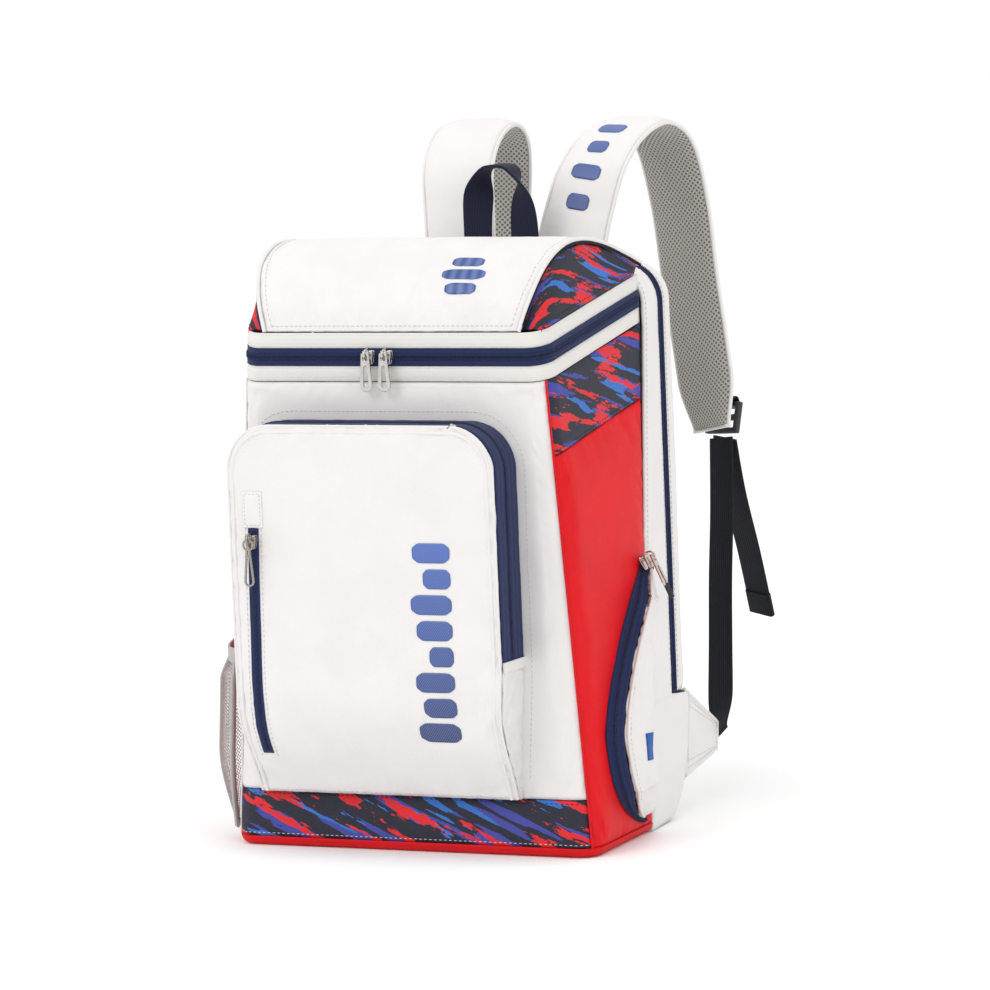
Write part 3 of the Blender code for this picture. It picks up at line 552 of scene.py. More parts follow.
def applied(obj):
    """Replaces obj's mesh by the one its modifiers make."""
    bpy.context.view_layer.update()
    evaluated = obj.evaluated_get(bpy.context.evaluated_depsgraph_get())
    mesh = bpy.data.meshes.new_from_object(evaluated)
    obj.modifiers.clear()
    obj.data = mesh
    return obj


def grid_object(name, rows, centre, closed=False):
    """Mesh through rows of points, faces outward from centre, with UVs in metres."""
    bm = bmesh.new()
    layer = bm.loops.layers.uv.new("UVMap")
    verts = [[bm.verts.new(p) for p in row] for row in rows]
    middle, half = rows[len(rows) // 2], len(rows[0]) // 2
    widths = [0.0]
    for a, b in zip(middle, middle[1:]):
        widths.append(widths[-1] + (b - a).length)
    heights = [0.0]
    for a, b in zip(rows, rows[1:]):
        heights.append(heights[-1] + (b[half] - a[half]).length)
    columns = len(rows[0]) - 1
    faces = []
    for j in range(len(rows) - 1):
        for i in range(columns + (1 if closed else 0)):
            k = (i + 1) % len(rows[0])
            face = bm.faces.new((verts[j][i], verts[j][k], verts[j + 1][k], verts[j + 1][i]))
            wide = widths[k] if k else widths[-1] + (middle[0] - middle[-1]).length
            for loop, uv in zip(face.loops, ((widths[i], heights[j]), (wide, heights[j]),
                                             (wide, heights[j + 1]), (widths[i], heights[j + 1]))):
                loop[layer].uv = uv
            faces.append(face)
    bm.normal_update()
    if sum(f.normal.dot(f.calc_center_median() - Vector(centre)) * f.calc_area() for f in faces) < 0:
        bmesh.ops.reverse_faces(bm, faces=faces)
    mesh = bpy.data.meshes.new(name)
    bm.to_mesh(mesh)
    bm.free()
    mesh.shade_smooth()
    return new_object(name, mesh)


def edge_distances(rows):
    """For each point of the grid, its distance to the left, right, bottom and top edges."""
    across, along = len(rows[0]), len(rows)
    left = [[0.0] * across for _ in rows]
    low = [[0.0] * across for _ in rows]
    for j in range(along):
        for i in range(1, across):
            left[j][i] = left[j][i - 1] + (rows[j][i] - rows[j][i - 1]).length
    for i in range(across):
        for j in range(1, along):
            low[j][i] = low[j - 1][i] + (rows[j][i] - rows[j - 1][i]).length
    return [[(left[j][i], left[j][-1] - left[j][i], low[j][i], low[-1][i] - low[j][i])
             for i in range(across)] for j in range(along)]


def shaped(rows, centre, tuck, sides, ripple, seed, height=None):
    """Moves grid points along their normals: seams tuck in, cloth ripples, height adds relief."""
    far = edge_distances(rows)
    across, along = len(rows[0]) - 1, len(rows) - 1
    out = []
    for j, row in enumerate(rows):
        line = []
        for i, p in enumerate(row):
            du = row[min(across, i + 1)] - row[max(0, i - 1)]
            dv = rows[min(along, j + 1)][i] - rows[max(0, j - 1)][i]
            normal = du.cross(dv)
            if normal.length < 1e-12:
                line.append(p.copy())
                continue
            normal.normalize()
            if normal.dot(p - centre) < 0:
                normal = -normal
            near = min((d for d, used in zip(far[j][i], sides) if used), default=1.0)
            calm = smooth(near / 0.02)
            move = -tuck * (1 - smooth(near / 0.0045))
            q = p * 16 + Vector((seed, seed * 0.7, -seed))
            move += ripple * calm * (noise.noise(q) + 0.45 * noise.noise(q * 2.7))
            pucker = math.exp(-near / 0.006) * ripple * 0.55
            move += pucker * noise.noise(p * 150 + Vector((seed, 0, 0)))
            if height:
                move += height(i / across, j / along)
            line.append(p + normal * move)
        out.append(line)
    return out


def cloth(obj, pressure, growth, cap, frames=14):
    """Lets the panel find its own folds: edges sewn down, slightly too much cloth, held to cap."""
    mesh = obj.data
    edges = {}
    for polygon in mesh.polygons:
        for key in polygon.edge_keys:
            edges[key] = edges.get(key, 0) + 1
    sewn = sorted({v for key, used in edges.items() if used == 1 for v in key})
    group = obj.vertex_groups.new(name="sewn")
    group.add(sewn, 1.0, "REPLACE")
    start = [v.co.copy() for v in mesh.vertices]
    modifier = obj.modifiers.new("cloth", "CLOTH")
    settings = modifier.settings
    settings.quality = 4
    settings.mass = 0.25
    settings.tension_stiffness = settings.compression_stiffness = 22
    settings.shear_stiffness = 8
    settings.bending_stiffness = 1.4
    settings.tension_damping = settings.compression_damping = settings.shear_damping = 12
    settings.vertex_group_mass = "sewn"
    settings.shrink_min = -growth
    settings.use_pressure = True
    settings.uniform_pressure_force = pressure
    settings.effector_weights.gravity = 0
    modifier.collision_settings.use_collision = False
    modifier.point_cache.frame_start, modifier.point_cache.frame_end = 1, frames
    scene = bpy.context.scene
    for number in range(1, frames + 1):
        scene.frame_set(number)
    applied(obj)
    scene.frame_set(1)
    for vertex, was in zip(obj.data.vertices, start):
        moved = vertex.co - was
        if moved.length > 1e-9:
            vertex.co = was + moved.normalized() * cap * math.tanh(moved.length / cap)
    obj.vertex_groups.clear()
    return obj


def panel(name, point, columns, rows, finish, body, replaces=(), thick=0.0026, centre=(0, 0.01, 0.2),
          tuck=0.0011, sides=(1, 1, 1, 1), ripple=0.0007, seed=1.0, height=None, sim=None, back="lining"):
    """Sewn sheet through point(u, v), thickened inwards, lined on its inner face."""
    centre = Vector(centre)
    grid = [[Vector(point(i / columns, j / rows)) for i in range(columns + 1)] for j in range(rows + 1)]
    obj = grid_object(name, shaped(grid, centre, tuck, sides, ripple, seed, height), centre)
    if sim:
        cloth(obj, *sim)
    if thick:
        solid = obj.modifiers.new("thickness", "SOLIDIFY")
        solid.thickness, solid.offset = thick, -1
        solid.material_offset = 1 if back else 0
    place_piece(obj, finish, body, replaces, back)
    obj.data.shade_smooth()
    return obj


def sweep(name, route, across, section, steps, finish, body, replaces=(), ends=True, stretch=None):
    """Closed section, as (side, normal) pairs, carried along route(t) with its side along across(t)."""
    rings = []
    for i in range(steps + 1):
        t = i / steps
        point, side = Vector(route(t)), Vector(across(t)).normalized()
        ahead = (Vector(route(min(1, t + 0.004))) - Vector(route(max(0, t - 0.004)))).normalized()
        side = (side - ahead * side.dot(ahead)).normalized()
        normal = side.cross(ahead)
        wide, deep = stretch(t) if stretch else (1, 1)
        rings.append([point + side * (a * wide) + normal * (b * deep) for a, b in section(t)])
    obj = grid_object(name, rings, rings[0][0], closed=True)
    bm = bmesh.new()
    bm.from_mesh(obj.data)
    bm.verts.ensure_lookup_table()
    count = len(rings[0])
    if ends:
        bm.faces.new([bm.verts[i] for i in range(count)])
        bm.faces.new([bm.verts[len(bm.verts) - count + i] for i in range(count)])
    bmesh.ops.recalc_face_normals(bm, faces=bm.faces)
    bm.to_mesh(obj.data)
    bm.free()
    obj.data.shade_smooth()
    obj.data.set_sharp_from_angle(angle=math.radians(50))
    return place_piece(obj, finish, body, replaces)


def flat_section(width, thick, rolled=0.3):
    """Flat strap with rounded edges."""
    half, deep = width / 2, thick / 2
    points = []
    for corner, (a, b) in enumerate(((1, 1), (-1, 1), (-1, -1), (1, -1))):
        for k in range(4):
            angle = math.pi / 2 * (corner + k / 3)
            points.append((a * (half - deep * (1 - rolled)) + deep * (1 - rolled) * math.cos(angle),
                           deep * math.sin(angle)))
    return points


def bead(name, points, radius, finish, body, replaces=(), cyclic=False):
    """Round cord or piping along points."""
    curve = bpy.data.curves.new(name, "CURVE")
    curve.dimensions = "3D"
    curve.bevel_depth, curve.bevel_resolution = radius, 2
    curve.use_fill_caps = not cyclic
    run = curve.splines.new("POLY")
    run.points.add(len(points) - 1)
    for target, p in zip(run.points, points):
        target.co = (*p, 1)
    run.use_cyclic_u = cyclic
    obj = applied_curve(name, curve)
    return place_piece(obj, finish, body, replaces)


def applied_curve(name, curve):
    """Mesh of a bevelled curve, with its end caps joined to it."""
    holder = new_object(name + "_curve", curve)
    bpy.context.view_layer.update()
    evaluated = holder.evaluated_get(bpy.context.evaluated_depsgraph_get())
    mesh = bpy.data.meshes.new_from_object(evaluated)
    bpy.data.objects.remove(holder)
    bm = bmesh.new()
    bm.from_mesh(mesh)
    bmesh.ops.remove_doubles(bm, verts=bm.verts, dist=1e-6)
    bmesh.ops.recalc_face_normals(bm, faces=bm.faces)
    layer = bm.loops.layers.uv.verify()
    for face in bm.faces:
        for loop in face.loops:
            p = loop.vert.co
            loop[layer].uv = (p.x + p.y, p.z + 0.3 * p.y)
    bm.to_mesh(mesh)
    bm.free()
    mesh.name = name
    mesh.shade_smooth()
    mesh.set_sharp_from_angle(angle=math.radians(55))
    return new_object(name, mesh)


def resampled(points, pitch):
    """Points every pitch metres along a polyline, each with its direction."""
    lengths = [(b - a).length for a, b in zip(points, points[1:])]
    total = sum(lengths)
    count = max(1, int(total / pitch))
    out, at, done = [], 0, 0.0
    for k in range(count):
        want = (k + 0.5) * total / count
        while at < len(lengths) - 1 and done + lengths[at] < want:
            done += lengths[at]
            at += 1
        a, b = points[at], points[at + 1]
        out.append((a.lerp(b, (want - done) / lengths[at]), (b - a).normalized()))
    return out


def surface_of(obj):
    bpy.context.view_layer.update()
    return BVHTree.FromObject(obj, bpy.context.evaluated_depsgraph_get())


def stitches(name, targets, routes, finish, body, pitch=0.0040, length=0.0029, radius=0.00032):
    """Rows of thread stitches laid on the outer faces of the target pieces."""
    trees = [surface_of(t) for t in (targets if isinstance(targets, (list, tuple)) else [targets])]
    bm = bmesh.new()
    layer = bm.loops.layers.uv.new("UVMap")
    sides, rings = 6, ((-1.0, 0.25), (-0.7, 0.8), (0.0, 1.0), (0.7, 0.8), (1.0, 0.25))
    for route in routes:
        for p, ahead in resampled([Vector(q) for q in route], pitch):
            found = [tree.find_nearest(p) for tree in trees]
            location, normal, _, _ = min(found, key=lambda f: (f[0] - p).length)
            across = ahead.cross(normal)
            if across.length < 1e-6:
                continue
            across.normalize()
            up = across.cross(ahead).normalized()
            loops = []
            for along, fat in rings:
                centre = location + ahead * (along * length / 2) + up * (radius * (0.55 - 0.75 * along * along))
                loops.append([bm.verts.new(centre + (across * math.cos(a) + up * math.sin(a)) * radius * fat)
                              for a in (2 * math.pi * k / sides for k in range(sides))])
            for a, b in zip(loops, loops[1:]):
                for k in range(sides):
                    bm.faces.new((a[k], a[(k + 1) % sides], b[(k + 1) % sides], b[k]))
            bm.faces.new(loops[0][::-1])
            bm.faces.new(loops[-1])
    bmesh.ops.recalc_face_normals(bm, faces=bm.faces)
    for face in bm.faces:
        for loop in face.loops:
            loop[layer].uv = (loop.vert.co.x + loop.vert.co.y, loop.vert.co.z)
    mesh = bpy.data.meshes.new(name)
    bm.to_mesh(mesh)
    bm.free()
    mesh.shade_smooth()
    return place_piece(new_object(name, mesh), finish, body)


def teeth(name, route, outward, finish, body, pitch=0.0016, wide=0.0024, tall=0.0012, phase=0.0):
    """Zip coil: one small rounded link after another across the closing line."""
    bm = bmesh.new()
    layer = bm.loops.layers.uv.new("UVMap")
    for k, (p, ahead) in enumerate(resampled([Vector(q) for q in route], pitch)):
        up = Vector(outward(p)).normalized()
        across = ahead.cross(up).normalized()
        skew = ahead * (pitch * 0.25)
        middle = p + across * phase
        loops = []
        for a, h in ((-0.5, 0.15), (-0.42, 0.8), (0.0, 1.0), (0.42, 0.8), (0.5, 0.15)):
            c = middle + across * (a * wide) + skew * a * 2
            half = pitch * 0.34
            loops.append([bm.verts.new(c - ahead * half), bm.verts.new(c - ahead * half * 0.6 + up * tall * h),
                          bm.verts.new(c + ahead * half * 0.6 + up * tall * h), bm.verts.new(c + ahead * half)])
        for a, b in zip(loops, loops[1:]):
            for i in range(4):
                bm.faces.new((a[i], a[(i + 1) % 4], b[(i + 1) % 4], b[i]))
        bm.faces.new(loops[0][::-1])
        bm.faces.new(loops[-1])
    bmesh.ops.recalc_face_normals(bm, faces=bm.faces)
    for face in bm.faces:
        for loop in face.loops:
            loop[layer].uv = (loop.vert.co.x + loop.vert.co.y, loop.vert.co.z)
    mesh = bpy.data.meshes.new(name)
    bm.to_mesh(mesh)
    bm.free()
    mesh.shade_smooth()
    mesh.set_sharp_from_angle(angle=math.radians(45))
    return place_piece(new_object(name, mesh), finish, body)


# ---------------------------------------------------------------- base and walls

LEFT_EDGE, RIGHT_EDGE = 0.008 - SEAM[-1], SEAM[1] - 0.008


def stretch_of(route, count=60):
    return [Vector(route(i / count)) for i in range(count + 1)]


def build_base():
    rear, rim_share = FOOT_FRONT_Y - 0.0006, 0.3

    def tray(u, v):
        s = lerp(-3, 3, u)
        if v < rim_share:
            return outline(s, (BAND_LOW_Z - 0.0002) * (1 - v / rim_share) ** 2, rear)
        shrink = lerp(1, 0.03, (v - rim_share) / (1 - rim_share))
        edge = outline(s, 0, rear)
        return Vector((edge.x * shrink, rear + (edge.y - rear) * shrink, 0))

    panel("base_tray_cover", tray, 150, 40, "red_base", "pack", ("base_tray",), tuck=0, ripple=0)


def front_top(s):
    return on_zip(s, -ZIP_HALF - BORDER - 2 * GAP).z


def build_front():
    def front(u, v):
        s = lerp(LEFT_EDGE, RIGHT_EDGE, u)
        return outline(s, lerp(BAND_HIGH_Z + GAP, front_top(s), v))

    body = panel("front_panel_cover", front, 130, 110, "white", "pack", ("front_panel",),
                 sim=(6, 0.004, 0.0016))
    rows = []
    for outward in (0.0065,):
        rows.append([Vector((x, FRONT_Y - 0.001, z)) for x, z in
                     (pocket_path(t / 90, 0.060, 0.060, -outward) for t in range(91))])
    stitches("front_panel_stitches", body, rows, "white_thread", "pack")

    def band(u, v):
        return outline(lerp(LEFT_EDGE, RIGHT_EDGE, u), lerp(BAND_LOW_Z, BAND_HIGH_Z - GAP, v))

    low = panel("front_band_cover", band, 130, 18, "printed_front", "pack", ("front_band",), seed=4.0)
    for name, v, thread in (("low", 0.07, "white_thread"), ("high", 0.93, "dark_thread")):
        row = stretch_of(lambda t, v=v: band(lerp(0.02, 0.98, t), v), 90)
        stitches("front_band_stitches_" + name, low, [row], thread, "pack", pitch=0.0042, length=0.0026)


def build_side(side, sign):
    def lower(u, v):
        s = sign * lerp(SEAM[sign] + 0.008, 3, u)
        return outline(s, lerp(BAND_LOW_Z, diagonal_z(outline(s, 0.32).y) - GAP, v))

    def upper(u, v):
        s = sign * lerp(SEAM[sign] + 0.008, 3, u)
        y = outline(s, 0.32).y
        return outline(s, lerp(diagonal_z(y) + GAP, zip_z(y) - ZIP_HALF - BORDER - 2 * GAP, v))

    red = panel("side_cover_" + side, lower, 64, 130, "red", "pack", ("side_panel_" + side,),
                seed=7.0 + sign, sim=(7, 0.006, 0.0022))
    dark = panel("side_print_cover_" + side, upper, 64, 28, "printed_side", "pack",
                 ("side_print_" + side,), seed=9.0 + sign)
    seam = stretch_of(lambda t: upper(lerp(0.03, 0.97, t), 0.06), 50)
    stitches("side_print_stitches_" + side, dark, [seam], "dark_thread", "pack")
    corner = stretch_of(lambda t: lower(0.035, lerp(0.02, 0.98, t)), 60)
    stitches("side_stitches_" + side, red, [corner], "red_thread", "pack", pitch=0.0038)

    def corner_seam(t):
        s = sign * SEAM[sign]
        return outline(s, lerp(BAND_LOW_Z, front_top(s), t))

    bead("corner_piping_" + side, stretch_of(corner_seam, 60), 0.0009, "red" if sign > 0 else "white",
         "pack")


# ---------------------------------------------------------------- lid zip and borders

def zip_outward(p):
    return Vector((p.x * 0.4, p.y - 0.02, 0)) if p.y < FRONT_Y + FRONT_RADIUS else \
        Vector((math.copysign(1, p.x), 0, 0))


def build_lid_zip():
    for name, low, high, body, phase in (
            ("lower_zip_tape", -ZIP_HALF, -GAP, "pack", -1), ("upper_zip_tape", GAP, ZIP_HALF, "lid", 1)):
        def tape(u, v, low=low, high=high):
            return on_zip(lerp(-3, 3, u), lerp(low, high, v))

        def ridges(u, v, low=low, high=high):
            offset = abs(lerp(low, high, v)) / ZIP_HALF
            return 0.00045 * abs(math.sin(offset * math.pi * 2.5)) - 0.0004

        panel(name + "_cover", tape, 200, 22, "navy", body, (name,), thick=0.0018, tuck=0,
              centre=(0, 0.05, 0.39), ripple=0.0002, height=ridges, seed=3.0, back=None)
        route = stretch_of(lambda t, k=phase: on_zip(lerp(-2.98, 2.98, t), k * 0.0011), 240)
        teeth(name + "_coil", route, zip_outward, "navy_dark", body, wide=0.0021)
    for name, low, high, body in (("lower_border", -ZIP_HALF - BORDER, -ZIP_HALF - GAP, "pack"),
                                  ("upper_border", ZIP_HALF + GAP, ZIP_HALF + BORDER, "lid")):
        def border(u, v, low=low, high=high):
            return on_zip(lerp(-3, 3, u), lerp(low, high, v))

        strip = panel(name + "_cover", border, 200, 14, "cream", body, (name,), thick=0.0020,
                      centre=(0, 0.05, 0.39), tuck=0.0007, ripple=0.0003, seed=5.0, back=None)
        near = 0.87 if low < 0 else 0.13
        rows = [stretch_of(lambda t, v=v: border(lerp(0.01, 0.99, t), v), 160) for v in (near, 1 - near)]
        stitches(name + "_stitches", strip, rows, "cream", body, pitch=0.0034, length=0.0025,
                 radius=0.00026)


# ---------------------------------------------------------------- lid

def build_lid():
    def top(u, v):
        edge = spline(LID_SEAM, v)
        return Vector((lerp(-edge.x + GAP, edge.x - GAP, u), edge.y, edge.z))

    cover = panel("lid_top_cover", top, 110, 90, "white", "lid", ("lid_top",), centre=(0, 0, 0.38),
                  seed=13.0, sim=(7, 0.006, 0.0030))
    rows = []
    for side, sign in SIDES:
        def wall(u, v, sign=sign):
            at = lerp(0.012, 0.965, u)
            edge = spline(LID_SEAM, at)
            ahead = spline(LID_SEAM, at + 0.01) - spline(LID_SEAM, at - 0.01)
            under = Vector((0, ahead.z, -ahead.y)).normalized() * (FABRIC + 0.0014)
            edge = edge + under + Vector((0.0006, 0, 0))
            point = rim_at(edge.y, ZIP_HALF + BORDER + 4 * GAP).lerp(edge, v)
            return Vector((sign * point.x, point.y, point.z))

        dark = panel("lid_side_cover_" + side, wall, 70, 26, "printed_side", "lid",
                     ("lid_side_" + side,), centre=(0, 0, 0.40), seed=15.0 + sign, tuck=0.0004)
        welt = [Vector((sign * (p.x + 0.0006), p.y, p.z - 0.0004)) for p in
                (spline(LID_SEAM, t / 90) for t in range(91))]
        bead("lid_welt_" + side, welt, 0.0017, "white", "lid")
        under = [Vector((sign * (p.x + 0.0012), p.y, p.z - 0.0030)) for p in
                 (spline(LID_SEAM, lerp(0.05, 0.98, t / 80)) for t in range(81))]
        bead("lid_edge_binding_" + side, under, 0.0012, "black", "lid")
        rows.append([Vector((sign * (p.x - 0.0060), p.y, p.z + 0.001)) for p in
                     (spline(LID_SEAM, lerp(0.02, 0.98, t / 80)) for t in range(81))])
        foot = stretch_of(lambda t: wall(lerp(0.04, 0.96, t), 0.08), 50)
        stitches("lid_side_stitches_" + side, dark, [foot], "dark_thread", "lid")
    rows.append([Vector((lerp(-0.103, 0.103, t / 60), -0.0975, 0.4030)) for t in range(61)])
    stitches("lid_top_stitches", cover, rows, "white_thread", "lid")
    rear = [Vector((lerp(-0.1395, 0.1395, t / 60), 0.0545, 0.4387)) for t in range(61)]
    bead("lid_rear_piping", rear, 0.0013, "white", "lid")


# ---------------------------------------------------------------- rear compartment

def build_rear():
    zip_low, middle = FLAP_HINGE_Z + 0.001, (0, 0.09, 0.2)
    low, foot_share, step = 0.0004, 6 / 48, 1 / 48
    above = (2 * (REAR_TOP_Z - CORNER_RADIUS - low) + math.pi * CORNER_RADIUS
             + 2 * (REAR_HALF_WIDTH - CORNER_RADIUS))
    step_low, step_high = (FLAP_HINGE_Z - 0.0025 - low) / above, (zip_low - 0.0008 - low) / above

    def gusset(u, v):
        """One strip over the whole compartment, wider below the zip, where it meets the foot."""
        end = min(u, 1 - u)
        past = (end - foot_share) / step
        if past <= 0:
            t = step_low * end / foot_share
        elif past < 1:
            t = lerp(step_low, step_high, past)
        else:
            t = lerp(step_high, 0.5, (past - 1) / (0.5 / step - foot_share / step - 1))
        x, z = rear_path(t if u < 0.5 else 1 - t, low)
        rear = lerp(foot_y(z) - GAP, REAR_ZIP_Y - 0.0038, min(1.0, max(0.0, past)))
        if z < REAR_TOP_Z - CORNER_RADIUS:
            x = math.copysign(rear_wall_x(v, z), x)
        return Vector((x, lerp(side_seam_y(z) + 2 * GAP, rear, v), z))

    cover = panel("rear_gusset_cover", gusset, 192, 16, "white", "pack", ("rear_gusset",),
                  centre=middle, seed=17.0)
    rows = [stretch_of(lambda t, u0=u0, u1=u1, v=v: gusset(lerp(u0, u1, t), v), 80)
            for u0, u1, v in ((0.15, 0.85, 0.09), (0.15, 0.85, 0.91))]
    stitches("rear_gusset_stitches", cover, rows, "white_thread", "pack")
    for name, near, far, body in (("rear_zip_front_tape", -0.0035, -GAP, "pack"),
                                  ("rear_zip_rear_tape", GAP, 0.0035, "back_flap")):
        def tape(u, v, near=near, far=far):
            x, z = rear_path(u, zip_low)
            return Vector((x, REAR_ZIP_Y + lerp(near, far, v), z))

        def ridges(u, v, near=near, far=far):
            return 0.00035 * abs(math.sin(lerp(near, far, v) / 0.0035 * math.pi * 1.5)) - 0.0003

        panel(name + "_cover", tape, 200, 12, "navy", body, (name,), thick=0.0018, tuck=0,
              centre=middle, ripple=0.0002, height=ridges, back=None)
        sign = math.copysign(1, near + far)

        def coil(t, sign=sign):
            x, z = rear_path(t, zip_low + 0.002)
            return Vector((x, REAR_ZIP_Y + sign * 0.0009, z))

        teeth(name + "_coil", stretch_of(coil, 260),
              lambda p: Vector((p.x, 0, max(0.0, p.z - 0.40) * 6)), "navy_dark", body, wide=0.0017)

    def shell(u, v):
        turn, start = 0.018, REAR_ZIP_Y + 0.0038
        if v < 0.3:
            x, z = rear_path(u, zip_low)
            return Vector((x, lerp(start, BACK_Y - turn, v / 0.3), z))
        angle = (v - 0.3) / 0.7 * math.pi / 2
        x, z = rear_path(u, zip_low, turn * (1 - math.cos(angle)))
        return Vector((x, BACK_Y - turn + turn * math.sin(angle), z))

    cover = panel("back_shell_cover", shell, 200, 24, "white", "back_flap", ("back_shell",),
                  centre=middle, seed=19.0)
    rows = [stretch_of(lambda t, v=v: shell(lerp(0.01, 0.99, t), v), 160) for v in (0.10, 0.90)]
    stitches("back_shell_stitches", cover, rows, "white_thread", "back_flap")

    def edge(t):
        x, z = rear_path(t, zip_low + 0.002, 0.0195)
        return Vector((x, BACK_Y + 0.0002, z))

    bead("back_edge_piping", stretch_of(edge, 180), 0.0019, "white", "back_flap")

    def face(u, v):
        inset = 0.0212
        half, top, radius = REAR_HALF_WIDTH - inset, REAR_TOP_Z - inset, CORNER_RADIUS - inset
        z = lerp(zip_low, top, 1 - (1 - v) ** 2)
        if z > top - radius:
            half = half - radius + math.sqrt(max(0.0, radius ** 2 - (z - top + radius) ** 2))
        return Vector((lerp(-half, half, u), BACK_Y, z))

    panel("back_panel_cover", face, 70, 90, "mesh", "back_flap", ("back_panel",), centre=middle,
          seed=21.0, tuck=0.0006, ripple=0.0004)

    def foot(u, v):
        y, z = lerp(FOOT_FRONT_Y, FOOT_TURN_Y, v / 0.2), 0.0
        if v > 0.2:
            y, z = bottom_curve((v - 0.2) / 0.8 * math.pi / 2)
        share = (y - side_seam_y(z)) / (foot_y(z) - side_seam_y(z))
        half = rear_wall_x(share, z) - FABRIC - 2 * GAP
        return Vector((lerp(-half, half, u), y, z))

    under = panel("rear_foot_cover", foot, 60, 40, "white", "pack", ("rear_foot",),
                  centre=(0, 0.04, 0.2), ripple=0.0003, tuck=0.0004)
    fold = stretch_of(lambda t: foot(lerp(0.03, 0.97, t), 0.95), 60)
    stitches("rear_foot_stitches", under, [fold], "white_thread", "pack")

    def divider(u, v):
        half = REAR_HALF_WIDTH - FABRIC - 0.0035
        z = lerp(0.0045, REAR_TOP_Z - FABRIC - 0.0021, 1 - (1 - v) ** 2)
        over = z - (REAR_TOP_Z - CORNER_RADIUS)
        if over > 0:
            arc = math.sqrt(max(0.0, (CORNER_RADIUS - FABRIC - 0.0020) ** 2 - over ** 2))
            half = REAR_HALF_WIDTH - CORNER_RADIUS + arc - 0.0035
        return Vector((lerp(-half, half, u), LID_REAR_Y + 0.0042, z))

    panel("divider_cover", divider, 30, 40, "lining", "pack", ("divider",), centre=(0, 0, 0.2),
          tuck=0, ripple=0.0004)


def build_pad(name, node, centre_x, half, low, high, depth, seed):
    """Foam pad under air mesh, swelled from a slightly small closed pillow."""
    columns, rows = 44, 56
    points, count = [], 0
    for j in range(rows + 1):
        line = []
        for i in range(columns + 1):
            a, b = 2 * i / columns - 1, 2 * j / rows - 1
            full = max(0.0, (1 - abs(a) ** 4) * (1 - abs(b) ** 4)) ** 0.42
            line.append(Vector((centre_x + a * half * 0.985, BACK_Y + 0.0008 + depth * full,
                                lerp(low, high, (b + 1) / 2))))
        points.append(line)
    obj = grid_object(name, points, Vector((centre_x, 0, (low + high) / 2)))
    solid = obj.modifiers.new("body", "SOLIDIFY")
    solid.thickness, solid.offset = depth * 0.30, -1
    applied(obj)
    swell(obj, 0.0018)
    place_piece(obj, "pad_mesh", "back_flap", (node,))
    obj.data.shade_smooth()
    rim = []
    for k in range(140):
        angle = 2 * math.pi * k / 140
        c, s = math.cos(angle), math.sin(angle)
        reach = (abs(c) ** 7 + abs(s) ** 7) ** (-1 / 7)
        rim.append(Vector((centre_x + c * reach * (half - 0.0012), BACK_Y + 0.0020,
                           (low + high) / 2 + s * reach * (high - low) / 2 * 0.99)))
    bead(name + "_piping", rim, 0.0015, "white", "back_flap", cyclic=True)
    return obj


def swell(obj, cap):
    """Inflates a closed piece by cloth pressure, moving no point further than cap."""
    start = [v.co.copy() for v in obj.data.vertices]
    modifier = obj.modifiers.new("cloth", "CLOTH")
    settings = modifier.settings
    settings.quality = 4
    settings.mass = 0.25
    settings.tension_stiffness = settings.compression_stiffness = 18
    settings.bending_stiffness = 1.0
    settings.use_pressure = True
    settings.uniform_pressure_force = 4
    settings.effector_weights.gravity = 0
    modifier.collision_settings.use_collision = False
    for number in range(1, 21):
        bpy.context.scene.frame_set(number)
    applied(obj)
    bpy.context.scene.frame_set(1)
    for vertex, was in zip(obj.data.vertices, start):
        moved = vertex.co - was
        if moved.length > 1e-9:
            vertex.co = was + moved.normalized() * cap * math.tanh(moved.length / cap)
        vertex.co.y = max(vertex.co.y, min(was.y, BACK_Y + 0.0005))


# ---------------------------------------------------------------- front pocket

